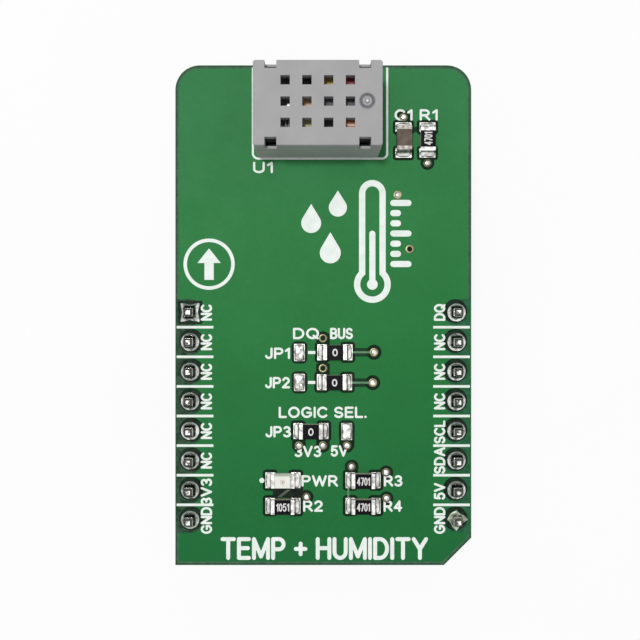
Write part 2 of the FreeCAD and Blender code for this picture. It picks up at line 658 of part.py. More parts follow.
def make_leads():
    bottom = board_floor - size["lead_drop"]
    height = inner_top + size["lead_rise"] - bottom
    leads = []
    joints = []
    joint = round_joint(size["lead_joint_radius"], size["lead_joint_height"], size["lead_width"])
    joint.rotate(Vector(0, 0, 0), Vector(1, 0, 0), 180)
    for x, y in lead_places():
        place_x = size["cover_x"] + x
        place_y = cover_y + y
        leads.append(block(size["lead_width"], size["lead_width"], height, place_x, place_y, bottom))
        joints.append(moved(joint, place_x, place_y, board_floor))
    new_group("sensor_leads", leads)
    new_group("sensor_solder", joints)


# Small parts: ceramic body, end caps, solder fillets and pads
def chip_core(height):
    """The part of the body inside the end caps, over the whole length."""
    wall = size["cap_wall"]
    return block(size["chip_length"] - 2 * wall, size["chip_width"] - 2 * wall, height - 2 * wall, z=wall)


def chip_body(height):
    """The body: full section between the caps, a little higher there, and a core inside them."""
    length = size["chip_length"] - 2 * size["cap_length"]
    middle = block(length, size["chip_width"], height + size["coat_rise"])
    return middle.fuse(chip_core(height)).removeSplitter()


def chip_caps(height):
    """Two metal caps, closed at the end and open towards the middle."""
    offset = (size["chip_length"] - size["cap_length"]) / 2
    core = chip_core(height)
    cap = block(size["cap_length"], size["chip_width"], height)
    return [moved(cap, side * offset, 0).cut(core) for side in (-1, 1)]


def chip_fillets(height):
    """Solder that climbs each end cap with a hollow flank."""
    start = size["chip_length"] / 2
    length = size["fillet_length"]
    rise = height * size["fillet_share"]
    foot = Vector(start + length, 0, 0)
    head = Vector(start, 0, rise)
    middle = Vector(start + length * 0.36, 0, rise * 0.36)
    heel = Vector(start, 0, 0)
    outline = Part.makePolygon([heel, foot, middle, head, heel])
    right = Part.Face(outline).extrude(Vector(0, size["chip_width"], 0))
    right.translate(Vector(0, -size["chip_width"] / 2, 0))
    return [right, right.mirror(Vector(0, 0, 0), Vector(1, 0, 0))]


def chip_pads():
    """Two copper pads under the caps and fillets."""
    inner = size["chip_length"] / 2 - size["cap_length"]
    outer = size["chip_length"] / 2 + size["fillet_length"] + size["pad_margin"]
    width = size["chip_width"] + 2 * size["pad_margin"]
    plate = block(outer - inner, width, size["copper_height"])
    offset = (inner + outer) / 2
    return [moved(plate, side * offset, 0) for side in (-1, 1)]


def set_down(shapes, place, height):
    """Copies of the shapes at a part's place on the board."""
    name, x, y, quarter = place
    return [moved(shape, x, y, height, quarter) for shape in shapes]


def make_chips():
    resistor = chip_body(size["resistor_height"])
    capacitor = chip_body(size["capacitor_height"])
    low_caps = chip_caps(size["resistor_height"])
    high_caps = chip_caps(size["capacitor_height"])
    for place in RESISTORS + LINKS:
        new_feature(place[0], set_down([resistor], place, part_floor)[0])
    new_feature(CAPACITOR[0], set_down([capacitor], CAPACITOR, part_floor)[0])
    for name, places in (("resistor_caps", RESISTORS), ("link_caps", LINKS)):
        new_group(name, [cap for place in places for cap in set_down(low_caps, place, part_floor)])
    new_group("capacitor_caps", set_down(high_caps, CAPACITOR, part_floor))

    fillets = []
    pads = []
    for place in RESISTORS + LINKS:
        fillets += set_down(chip_fillets(size["resistor_height"]), place, part_floor)
    fillets += set_down(chip_fillets(size["capacitor_height"]), CAPACITOR, part_floor)
    fillets += set_down(chip_fillets(size["led_base_height"]), DIODE, part_floor)
    for place in RESISTORS + LINKS + [CAPACITOR, DIODE]:
        pads += set_down(chip_pads(), place, board_top)
    new_group("solder_fillets", fillets)
    bare = block(size["open_pad_length"], size["open_pad_width"], size["copper_height"])
    pads += [moved(bare, x, y, board_top) for x, y in OPEN_PADS]
    new_group("surface_pads", pads)


def make_diode():
    """Base board with end caps and a lens whose sides are drawn in."""
    height = size["led_base_height"]
    middle = block(size["chip_length"] - 2 * size["cap_length"], size["chip_width"], height)
    base = chip_core(height).fuse(middle)
    new_feature("diode_base", set_down([base.removeSplitter()], DIODE, part_floor)[0])
    new_group("diode_caps", set_down(chip_caps(height), DIODE, part_floor))
    draft = size["led_lens_draft"]
    length = size["led_lens_length"]
    width = size["chip_width"]
    foot = Part.makePolygon(rectangle_points(length, width, 0))
    head = Part.makePolygon(rectangle_points(length - 2 * draft, width - 2 * draft, size["led_lens_height"]))
    lens = Part.makeLoft([foot, head], True, True)
    new_feature("diode_lens", set_down([lens], DIODE, part_floor + height)[0])


def rectangle_points(length, width, height):
    corners = ((-1, -1), (1, -1), (1, 1), (-1, 1), (-1, -1))
    return [Vector(x * length / 2, y * width / 2, height) for x, y in corners]


def make_open_solder():
    """Low rounded solder on the pads of the unused link places."""
    height = size["open_solder_height"]
    margin = size["pad_margin"]
    lump = block(size["open_pad_length"] - margin, size["open_pad_width"] - margin, height)
    upper = [edge for edge in lump.Edges if edge.BoundBox.ZMin > height / 2]
    lump = lump.makeFillet(height * 0.8, upper)
    new_group("open_pad_solder", [moved(lump, x, y, part_floor) for x, y in OPEN_PADS])


def make_via_rings():
    outer = Part.Face(polygon_ring(size["via_ring_diameter"] / 2, 0, VIA_SIDES))
    inner = Part.Face(polygon_ring(size["via_hole_diameter"] / 2, 0, VIA_SIDES))
    ring = outer.cut(inner).Faces[0].extrude(Vector(0, 0, size["copper_height"]))
    new_group("via_rings", [moved(ring, x, y, board_top) for x, y in VIAS])


# White print on the board
def printed(face):
    """A printed shape: a flat face made as thick as the print."""
    return face.extrude(Vector(0, 0, size["print_height"]))


def round_bar(x_start, length, width, y):
    """A printed bar with round ends."""
    radius = width / 2
    corners = []
    for centre_x, first_turn in ((x_start + length - radius, -math.pi / 2), (x_start + radius, math.pi / 2)):
        for step in range(BAR_END_SIDES + 1):
            turn = first_turn + step * math.pi / BAR_END_SIDES
            corners.append(Vector(centre_x + radius * math.cos(turn), y + radius * math.sin(turn), 0))
    return Part.Face(Part.makePolygon(corners + corners[:1]))


def bulb_and_tube(half_width, top, bulb_radius):
    """A tube with a round top that stands on a bulb, as one flat shape about the thermometer's axis."""
    centre = Vector(size["tube_x"], size["bulb_y"], 0)
    meeting = math.sqrt(bulb_radius ** 2 - half_width ** 2)
    shoulder = top - half_width
    left = Vector(centre.x - half_width, 0, 0)
    right = Vector(centre.x + half_width, 0, 0)
    foot_y = Vector(0, centre.y + meeting, 0)
    top_y = Vector(0, shoulder, 0)
    outline = Part.Wire([
        Part.makeLine(right + foot_y, right + top_y),
        Part.Arc(right + top_y, Vector(centre.x, top, 0), left + top_y).toShape(),
        Part.makeLine(left + top_y, left + foot_y),
        Part.Arc(left + foot_y, centre - Vector(0, bulb_radius, 0), right + foot_y).toShape(),
    ])
    return Part.Face(outline)


def make_thermometer():
    line = size["tube_line"]
    outer = bulb_and_tube(size["tube_half_width"], size["tube_top_y"], size["bulb_radius"])
    inner = bulb_and_tube(size["tube_half_width"] - line, size["tube_top_y"] - line,
                          size["bulb_radius"] - line)
    column = bulb_and_tube(size["column_half_width"], size["column_top_y"], size["column_dot_radius"])
    shapes = [printed(outer.cut(inner).Faces[0]), printed(column)]
    new_group("print_thermometer", [moved(shape, 0, 0, board_top) for shape in shapes])


def drop(tip_x, tip_y, reach, radius):
    """A drop: a round foot with two straight flanks that touch it and meet at the tip."""
    centre = Vector(tip_x, tip_y - reach, 0)
    angle = math.acos(radius / reach)
    right = centre + Vector(radius * math.sin(angle), radius * math.cos(angle), 0)
    left = centre + Vector(-radius * math.sin(angle), radius * math.cos(angle), 0)
    tip = Vector(tip_x, tip_y, 0)
    outline = Part.Wire([
        Part.makeLine(tip, left),
        Part.Arc(left, centre - Vector(0, radius, 0), right).toShape(),
        Part.makeLine(right, tip),
    ])
    return Part.Face(outline)


def make_drops_and_ticks():
    drops = [moved(printed(drop(*values)), 0, 0, board_top) for values in DROPS]
    new_group("print_drops", drops)
    ticks = []
    for index, kind in enumerate(TICKS):
        y = size["tick_top_y"] - index * size["tick_pitch"]
        bar = round_bar(size["tick_start_x"], size[f"tick_{kind}"], size["tick_width"], y)
        ticks.append(moved(printed(bar), 0, 0, board_top))
    new_group("print_ticks", ticks)


def round_rectangle(width, length, radius):
    """A flat rectangle round the origin with round corners."""
    box = block(width, length, 1.0)
    upright = [edge for edge in box.Edges if edge.BoundBox.ZLength > 0.5]
    rounded = box.makeFillet(radius, upright)
    return next(face for face in rounded.Faces if near(face.BoundBox.ZMax, 0))


def make_print_sign():
    """A ring with an arrow that points up the board."""
    radius = size["sign_radius"]
    ring = Part.makeCylinder(radius, size["print_height"])
    ring = ring.cut(Part.makeCylinder(radius - size["sign_line"], size["print_height"]))
    tip = size["arrow_length"] / 2
    neck = tip - size["arrow_head_length"]
    head = size["arrow_head_width"] / 2
    shaft = size["arrow_shaft_width"] / 2
    corners = [(0, tip), (-head, neck), (-shaft, neck), (-shaft, -tip), (shaft, -tip), (shaft, neck),
               (head, neck), (0, tip)]
    arrow = printed(Part.Face(Part.makePolygon([Vector(x, y, 0) for x, y in corners])))
    place = (size["sign_x"], size["sign_y"], board_top)
    new_group("print_sign", [moved(shape, *place) for shape in (ring, arrow)])


def make_print_lines():
    height = size["print_height"]
    centre = board_width / 2 - size["divider_inset"] - size["divider_length"] / 2
    divider = block(size["divider_length"], size["divider_width"], height)
    dividers = []
    for index in range(pin_count - 1):
        y = first_pin_y - (index + 0.5) * size["pin_pitch"]
        dividers += [moved(divider, side * centre, y, board_top) for side in (-1, 1)]
    new_group("print_dividers", dividers)
    dashes = [block(size["dash_length"], size["dash_width"], height, x, y, board_top) for x, y in DASHES]
    new_group("print_dashes", dashes)


def make_sensor_outline():
    """A printed line round three sides of the sensor, open towards the board's edge."""
    half = size["outline_width"] / 2
    left = size["cover_x"] - size["cover_length"] / 2 - size["outline_gap_left"]
    right = size["cover_x"] + size["cover_length"] / 2 + size["outline_gap_right"]
    low = cover_y - size["cover_width"] / 2 - size["outline_gap_front"]
    high = size["board_length"] / 2 - size["outline_edge_gap"]
    radius = size["outline_corner"]
    reach = 2 * radius
    outer = round_rectangle(right - left + 2 * half, high - low + 2 * half + reach, radius + half)
    inner = round_rectangle(right - left - 2 * half, high - low - 2 * half + reach, radius - half)
    loop = outer.cut(inner).Faces[0].extrude(Vector(0, 0, size["print_height"]))
    loop.translate(Vector((left + right) / 2, (low + high + reach) / 2, board_top))
    keep = block(2 * (right - left), high - low + 2 * half, size["print_height"], (left + right) / 2,
                 (low - half + high) / 2 - half / 2, board_top)
    new_feature("print_sensor_outline", loop.common(keep))


make_board()
make_headers()
make_cover()
make_base()
make_inner_board()
make_inner_parts()
make_leads()
make_chips()
make_diode()
make_open_solder()
make_via_rings()
make_thermometer()
make_drops_and_ticks()
make_print_sign()
make_print_lines()
make_sensor_outline()
document.recompute()

failed = [item.Name for item in document.Objects if "Invalid" in item.State or "Error" in item.State]
for part in parts:
    if part.Shape.isNull() or not part.Shape.isValid():
        failed.append(part.Label)
if failed:
    raise RuntimeError("these objects failed: " + ", ".join(failed))

os.makedirs("parts", exist_ok=True)
for part in parts:
    part.Shape.exportStep(f"parts/{part.Label}.step")
print(len(parts), "sub-parts written")
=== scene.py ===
import json
import math
import random

import bpy
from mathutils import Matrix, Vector


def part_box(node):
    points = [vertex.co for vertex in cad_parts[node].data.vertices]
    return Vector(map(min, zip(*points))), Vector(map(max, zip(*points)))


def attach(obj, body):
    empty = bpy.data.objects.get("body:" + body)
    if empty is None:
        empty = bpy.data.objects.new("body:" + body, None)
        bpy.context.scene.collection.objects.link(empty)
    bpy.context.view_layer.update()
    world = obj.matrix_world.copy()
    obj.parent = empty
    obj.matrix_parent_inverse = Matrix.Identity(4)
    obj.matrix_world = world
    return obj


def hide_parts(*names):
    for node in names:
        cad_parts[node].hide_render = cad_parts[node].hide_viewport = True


# A plug-in circuit board with a temperature and humidity sensor, seen from straight above.
# Places and sizes are millimetres in the row frame: X right, Y up the board, Z out of its face.

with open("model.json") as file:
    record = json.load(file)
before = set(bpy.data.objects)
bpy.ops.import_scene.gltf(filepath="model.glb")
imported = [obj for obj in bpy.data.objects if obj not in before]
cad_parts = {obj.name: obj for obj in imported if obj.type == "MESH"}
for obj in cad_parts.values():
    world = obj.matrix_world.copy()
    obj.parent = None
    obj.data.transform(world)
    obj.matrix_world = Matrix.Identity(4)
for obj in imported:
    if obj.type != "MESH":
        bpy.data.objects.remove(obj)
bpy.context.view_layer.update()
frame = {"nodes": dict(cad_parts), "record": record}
nodes = frame["nodes"]

MM = 0.001
SEED = 11
PIN_COUNT = 8

# The camera's place and lens
CAMERA_PLACE = (-0.283, -0.412, 69.64)
CAMERA_LENS = 38.99
CAMERA_SENSOR = 36.0


def middle(node):
    """Centre of a CAD node in millimetres."""
    low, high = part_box(node)
    return (low + high) / 2 / MM


def extent(node):
    low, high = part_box(node)
    return (high - low) / MM


def top_of(node):
    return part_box(node)[1].z / MM


def linear(value):
    """One colour channel from 0-255 display values to the shader's linear value."""
    share = value / 255
    return share / 12.92 if share <= 0.04045 else ((share + 0.055) / 1.055) ** 2.4


def colour(red, green, blue):
    return (linear(red), linear(green), linear(blue), 1.0)


# The board's sides and the levels on it
board_low, board_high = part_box("circuit_board")
BOARD_LEFT = board_low.x / MM
BOARD_RIGHT = board_high.x / MM
BOARD_LOW = board_low.y / MM
BOARD_HIGH = board_high.y / MM
BOARD_FLOOR = board_low.z / MM
BOARD_TOP = board_high.z / MM
PAD_TOP = top_of("surface_pads")
PRINT_TOP = top_of("print_ticks")


# Materials

class Paint:
    """A procedural material that is put together step by step."""

    def __init__(self, name, roughness, metallic, specular):
        self.material = bpy.data.materials.new(name)
        self.material.use_nodes = True
        self.tree = self.material.node_tree
        self.shader = self.tree.nodes["Principled BSDF"]
        self.feed(self.shader, ("Roughness", "Metallic", "Specular IOR Level"),
                  (roughness, metallic, specular))
        self.place = self.tree.nodes.new("ShaderNodeTexCoord")

    def link(self, source, target):
        self.tree.links.new(source, target)

    def feed(self, node, keys, sources):
        """Sets plain values on a node's sockets, and links every other source to its socket."""
        for key, source in zip(keys, sources):
            if isinstance(source, (float, tuple)):
                node.inputs[key].default_value = source
            else:
                self.link(source, node.inputs[key])

    def noise(self, scale, detail=3.0, roughness=0.5):
        """Noise over the object's own place; the scale is in features for each metre."""
        node = self.tree.nodes.new("ShaderNodeTexNoise")
        self.feed(node, ("Vector", "Scale", "Detail", "Roughness"),
                  (self.place.outputs["Object"], scale, detail, roughness))
        return node.outputs["Fac"]

    def ramp(self, factor, stops):
        node = self.tree.nodes.new("ShaderNodeValToRGB")
        band = node.color_ramp
        while len(band.elements) < len(stops):
            band.elements.new(0.5)
        for element, (place, tint) in zip(band.elements, stops):
            element.position = place
            element.color = tint
        self.link(factor, node.inputs["Fac"])
        return node.outputs["Color"]

    def spread(self, factor, low, high, from_low=0.3, from_high=0.7):
        node = self.tree.nodes.new("ShaderNodeMapRange")
        self.feed(node, ("Value", "From Min", "From Max", "To Min", "To Max"),
                  (factor, from_low, from_high, low, high))
        return node.outputs["Result"]

    def mix(self, factor, first, second, kind="MIX"):
        """Two colours mixed; a colour mix node has its factor and colours at these sockets."""
        node = self.tree.nodes.new("ShaderNodeMix")
        node.data_type = "RGBA"
        node.blend_type = kind
        self.feed(node, (0, 6, 7), (factor, first, second))
        return node.outputs[2]

    def times(self, first, second):
        return self.mix(1.0, first, second, "MULTIPLY")

    def calculate(self, operation, *sources):
        node = self.tree.nodes.new("ShaderNodeMath")
        node.operation = operation
        self.feed(node, (0, 1), sources)
        return node.outputs["Value"]

    def component(self, vector, name):
        """One of the three numbers of a vector."""
        parts = self.tree.nodes.new("ShaderNodeSeparateXYZ")
        self.link(vector, parts.inputs["Vector"])
        return parts.outputs[name]

    def direction(self, name):
        """How far the face points along X, Y or Z."""
        geometry = self.tree.nodes.new("ShaderNodeNewGeometry")
        return self.component(geometry.outputs["Normal"], name)

    def axis(self, name):
        return self.component(self.place.outputs["Object"], name)

    def flatness(self):
        """One on level faces, nothing on upright walls."""
        return self.calculate("ABSOLUTE", self.direction("Z"))

    def facing_up(self, threshold=0.7):
        return self.calculate("GREATER_THAN", self.flatness(), threshold)

    def tones(self, scale, dark, light, low=0.3, high=0.7, detail=3.0, roughness=0.5):
        """Noise between two colours, each given in display values."""
        return self.ramp(self.noise(scale, detail, roughness), [(low, colour(*dark)), (high, colour(*light))])

    def clouds(self, scale, dark, light, low=0.3, high=0.7, detail=3.0):
        """Noise between two shares of red, green and blue, to multiply a colour by."""
        return self.ramp(self.noise(scale, detail), [(low, (*dark, 1.0)), (high, (*light, 1.0))])

    def bump(self, scale, strength, distance, detail=3.0):
        """Fine unevenness of the surface; the distance is in metres."""
        node = self.tree.nodes.new("ShaderNodeBump")
        self.feed(node, ("Strength", "Distance", "Height"), (strength, distance, self.noise(scale, detail)))
        self.link(node.outputs["Normal"], self.shader.inputs["Normal"])

    def tint(self, source):
        self.link(source, self.shader.inputs["Base Color"])

    def rough(self, source):
        self.link(source, self.shader.inputs["Roughness"])


WHOLE = (1.0, 1.0, 1.0)


def mottled(name, dark, light, roughness, metallic, specular, scale, bump_scale=None, bump_distance=0.00001):
    """A material between two near tints, with uneven gloss and, if asked, a fine bump."""
    paint = Paint(name, roughness, metallic, specular)
    paint.tint(paint.tones(scale, dark, light))
    paint.rough(paint.spread(paint.noise(scale * 1.7), roughness - 0.06, roughness + 0.06))
    if bump_scale:
        paint.bump(bump_scale, 0.4, bump_distance)
    return paint.material


def board_material():
    """Green mask that is lighter towards the top, a painted light falloff, on a pale laminate that shows at
    the cut edges.
    """
    paint = Paint("green_mask", 0.5, 0.0, 0.05)
    # Painted light: the mask's colour grows lighter up the board, standing in for the lamp's falloff.
    along = paint.spread(paint.axis("Y"), 0.0, 1.0, BOARD_LOW * MM, BOARD_HIGH * MM)
    mask = paint.ramp(along, [
        (0.0, colour(35, 111, 60)), (0.22, colour(38, 116, 61)), (0.5, colour(46, 125, 66)),
        (0.7, colour(52, 128, 71)), (0.92, colour(58, 129, 78)),
    ])
    mask = paint.times(mask, paint.clouds(140.0, (0.93, 0.95, 0.93), (1.07, 1.04, 1.07), detail=2.0))
    mask = paint.times(mask, paint.clouds(2600.0, (0.94, 0.94, 0.94), WHOLE, detail=4.0))
    laminate = paint.tones(5200.0, (70, 104, 72), (118, 142, 98), detail=5.0, roughness=0.7)
    paint.tint(paint.mix(paint.facing_up(), laminate, mask))
    paint.rough(paint.spread(paint.noise(700.0), 0.46, 0.56))
    paint.bump(1500.0, 0.2, 0.00002, 2.0)
    return paint.material


def resistor_material():
    """Black coat on top, white ceramic at the sides."""
    paint = Paint("resistor_body", 0.4, 0.0, 0.06)
    coat = paint.tones(2500.0, (10, 9, 12), (22, 20, 25))
    ceramic = paint.tones(1800.0, (176, 170, 156), (206, 200, 186))
    paint.tint(paint.mix(paint.facing_up(0.6), ceramic, coat))
    paint.rough(paint.spread(paint.noise(1400.0), 0.28, 0.45))
    return paint.material


def solder_material():
    """Bright metal where it lies flat; greyer on its steep flanks, a painted reflection of the darker
    surroundings they would mirror.
    """
    paint = Paint("solder_metal", 0.22, 1.0, 0.5)
    # Painted reflection: the steep flanks are darker, standing in for the surroundings they mirror.
    flank_painted_reflection = paint.ramp(paint.flatness(), [
        (0.0, colour(132, 132, 128)), (0.25, colour(56, 57, 56)), (0.44, colour(80, 82, 80)),
        (0.68, colour(240, 241, 238)),
    ])
    cloud = paint.clouds(1700.0, (0.55, 0.56, 0.54), (1.0, 1.0, 0.99), 0.34, 0.52)
    cloud = paint.times(cloud, paint.clouds(330.0, (0.6, 0.62, 0.6), WHOLE, 0.4, 0.58, 1.0))
    # Painted shade: the flanks that point up the board are greyer, as if shaded.
    upward_painted_shade = paint.spread(paint.direction("Y"), 0.0, 1.0, 0.1, 0.6)
    cloud = paint.mix(upward_painted_shade, cloud, colour(120, 124, 120))
    cloud = paint.times(cloud, paint.clouds(5200.0, (0.6, 0.61, 0.6), WHOLE, 0.36, 0.56, 2.0))
    paint.tint(paint.times(flank_painted_reflection, cloud))
    paint.rough(paint.spread(paint.noise(1900.0), 0.14, 0.32))
    paint.bump(3200.0, 0.4, 0.00003)
    return paint.material


def tinned_material():
    """Bright tin, greyer in cloudy patches and on its steep faces, where the grey is a painted reflection."""
    paint = Paint("tinned_metal", 0.3, 1.0, 0.5)
    # Painted reflection: the steep faces are greyer, standing in for the darker surroundings they mirror.
    steep = paint.ramp(paint.flatness(), [(0.0, colour(132, 130, 126)), (0.45, colour(158, 156, 152)),
                                          (0.8, colour(242, 241, 238))])
    cloud = paint.clouds(2600.0, (0.52, 0.52, 0.51), WHOLE, 0.38, 0.54)
    cloud = paint.times(cloud, paint.clouds(1100.0, (0.66, 0.65, 0.64), WHOLE, 0.4, 0.52, 2.0))
    paint.tint(paint.times(steep, cloud))
    # The steep ends are dull and less metallic, so they don't mirror the board and show their painted grey
    paint.link(paint.spread(paint.flatness(), 0.1, 1.0, 0.1, 0.6), paint.shader.inputs["Metallic"])
    paint.rough(paint.spread(paint.noise(2400.0), 0.2, 0.4))
    paint.bump(4500.0, 0.4, 0.00002)
    return paint.material


def element_material():
    """Tan ceramic whose lower end is a pale olive."""
    paint = Paint("humidity_ceramic", 0.6, 0.0, 0.3)
    tan = paint.tones(1800.0, (228, 188, 152), (246, 214, 182))
    olive = paint.tones(1800.0, (186, 186, 136), (212, 212, 166))
    upper = paint.calculate("GREATER_THAN", paint.axis("Y"), middle("humidity_element").y * MM)
    paint.tint(paint.mix(upper, olive, tan))
    return paint.material


def pin_material():
    """Tinned wire; its cut and chamfered tail above the board is dark on the slopes, a painted reflection of
    the surroundings the chamfers mirror.
    """
    paint = Paint("pin_metal", 0.26, 1.0, 0.5)
    metal = paint.tones(1500.0, (212, 208, 200), (238, 235, 226))
    # Painted reflection: the tail's slopes are dark, standing in for the darker surroundings the chamfers
    # mirror.
    dull = paint.ramp(paint.flatness(), [(0.12, colour(206, 203, 196)), (0.3, colour(66, 65, 63)),
                                         (0.8, colour(88, 86, 84))])
    tail = paint.calculate("GREATER_THAN", paint.axis("Z"), BOARD_TOP * MM)
    slope = paint.calculate("LESS_THAN", paint.flatness(), 0.85)
    cut = paint.tones(4200.0, (84, 84, 82), (228, 230, 226), 0.4, 0.58)
    paint.tint(paint.mix(tail, metal, paint.mix(slope, cut, dull)))
    gloss = paint.spread(paint.noise(1900.0), 0.18, 0.36)
    paint.rough(paint.calculate("ADD", gloss, paint.calculate("MULTIPLY", tail, 0.3)))
    return paint.material


# Mottled materials: slot or use, then name, two colours, roughness, metallic, specular, scale of the noise,
# and for a bump its scale and depth in metres
MOTTLED = {
    "spacer": ("spacer_plastic", (22, 22, 24), (36, 36, 38), 0.45, 0.0, 0.5, 700.0, 5000.0),
    "copper": ("via_metal", (92, 94, 70), (142, 138, 104), 0.4, 1.0, 0.5, 2000.0),
    "cover": ("cover_plastic", (164, 163, 164), (171, 170, 171), 0.55, 0.0, 0.12, 420.0, 7000.0, 0.000006),
    "tray": ("tray_plastic", (54, 56, 60), (78, 80, 84), 0.6, 0.0, 0.2, 1800.0),
    "inner_board": ("inner_mask", (84, 90, 92), (120, 126, 128), 0.45, 0.0, 0.5, 2500.0),
    "chip_black": ("chip_plastic", (68, 72, 78), (104, 108, 113), 0.6, 0.0, 0.5, 3500.0),
    "element_olive": ("temperature_ceramic", (196, 166, 80), (230, 204, 124), 0.6, 0.0, 0.5, 1800.0),
    "element_red": ("diode_plastic", (134, 28, 44), (196, 70, 84), 0.5, 0.0, 0.5, 1800.0),
    "element_orange": ("orange_ceramic", (176, 108, 44), (210, 140, 72), 0.5, 0.0, 0.5, 1800.0),
    "capacitor": ("capacitor_ceramic", (88, 76, 66), (114, 102, 91), 0.45, 0.0, 0.12, 1600.0),
    "diode_base": ("diode_white", (214, 212, 202), (234, 232, 224), 0.5, 0.0, 0.5, 1500.0),
    "diode_lens": ("diode_resin", (232, 232, 222), (244, 244, 236), 0.25, 0.0, 0.5, 1500.0),
    "print": ("white_ink", (230, 240, 233), (246, 251, 247), 0.6, 0.0, 0.2, 1500.0, 9000.0, 0.000005),
    "clearance": ("bare_gap", (10, 30, 17), (20, 46, 27), 0.5, 0.0, 0.06, 1800.0),
    "trace_gap": ("trace_gap", (8, 46, 26), (14, 62, 34), 0.5, 0.0, 0.1, 1800.0),
    "dark_patch": ("dark_patch", (18, 26, 22), (36, 44, 38), 0.5, 0.0, 0.06, 1800.0),
    "grey_patch": ("grey_patch", (70, 80, 72), (96, 106, 98), 0.5, 0.0, 0.2, 2200.0),
    # Clearance round the header joints, darkened as painted shadow
    "pad_gap": ("header_gap", (10, 26, 16), (32, 54, 38), 0.5, 0.0, 0.06, 2200.0),
    "right_zone": ("right_zone", (32, 86, 54), (52, 106, 78), 0.5, 0.0, 0.06, 2600.0),
    "header_zone": ("header_zone", (28, 54, 38), (66, 92, 74), 0.5, 0.0, 0.06, 2600.0),
    "dull_solder": ("dull_solder", (84, 84, 74), (196, 206, 186), 0.45, 1.0, 0.5, 2000.0, 3000.0, 0.00004),
    "dull_tin": ("dull_tin", (112, 101, 92), (204, 201, 194), 0.42, 0.35, 0.5, 3400.0, 4200.0, 0.00002),
    "dull_copper": ("dull_via_metal", (58, 62, 46), (104, 102, 82), 0.45, 1.0, 0.5, 2000.0),
    # Painted shade of the cover's moulded mark: its groove and the rings along it
    "mark": ("mark_painted_shade", (102, 102, 106), (122, 122, 126), 0.55, 0.0, 0.1, 2000.0),
    "mark_rim_painted_shade": ("mark_rim_painted_shade", (138, 138, 141), (152, 152, 155), 0.55, 0.0, 0.1, 2000.0),
    # Pale marks, and a painted highlight on the tip of the cover mark's dot
    "pale_mark_and_highlight": ("pale_mark_and_highlight", (214, 214, 214), (240, 240, 238), 0.55, 0.0, 0.1, 2000.0),
    "trace": ("raised_trace", (74, 122, 86), (96, 140, 106), 0.4, 0.0, 0.3, 1500.0),
    # Painted shade: the near-black plug in each via's bore
    "hole": ("bore_painted_shade", (8, 10, 9), (18, 20, 18), 0.6, 0.0, 0.1, 1800.0),
    "edge": ("bare_edge", (46, 72, 56), (66, 90, 74), 0.6, 0.0, 0.06, 2500.0),
    "edge_line": ("edge_line", (62, 98, 74), (80, 114, 88), 0.6, 0.0, 0.06, 2500.0),
    "speck": ("diode_speck", (150, 126, 116), (178, 156, 146), 0.4, 0.0, 0.2, 2500.0),
    "code": ("resistor_code", (205, 203, 203), (235, 233, 232), 0.5, 0.0, 0.5, 2500.0),
}
materials = {key: mottled(*row) for key, row in MOTTLED.items()}
materials.update({
    "board": board_material(), "pin": pin_material(), "solder": solder_material(),
    "tinned": tinned_material(), "element_tan": element_material(), "resistor": resistor_material(),
})

# Resistance codes on the tops of the small parts
CODES = {"resistor_two": "1051", "resistor_three": "4701", "resistor_four": "4701", "link_one": "0",
         "link_two": "0", "link_three": "0", "resistor_one": "4701"}

# Rounded edges of the CAD pieces
EDGE_ROUNDING = {
    0.02: ("sensor_inner_board", "diode_base"),
    0.03: ("sensor_cover", "sensor_base", "sensor_diode", "sensor_small_caps", "sensor_leads", "diode_caps",
           "humidity_element", "temperature_element", *CODES),
    0.04: ("sensor_chip", "sensor_capacitor"),
    0.05: ("circuit_board", "resistor_caps", "link_caps", "capacitor_body", "diode_lens"),
    0.07: ("capacitor_caps",),
    0.08: ("header_spacer_left", "header_spacer_right"),
}
SHARP_EDGE = math.radians(40)

rounding_of = {name: size for size, names in EDGE_ROUNDING.items() for name in names}
slot_of = {item["node"]: item["material_slot"] for item in frame["record"]["subparts"]}
own_materials = {"capacitor_caps": materials["dull_tin"]}
for name, node in nodes.items():
    node.data.materials.clear()
    node.data.materials.append(own_materials.get(name, materials[slot_of[name]]))
    if name in rounding_of:
        bevel = node.modifiers.new("rounded_edges", "BEVEL")
        bevel.width = rounding_of[name] * MM
        bevel.segments = 2
        bevel.limit_method = "ANGLE"
        bevel.angle_limit = SHARP_EDGE


# Mesh pieces
BEND_STEPS = 5


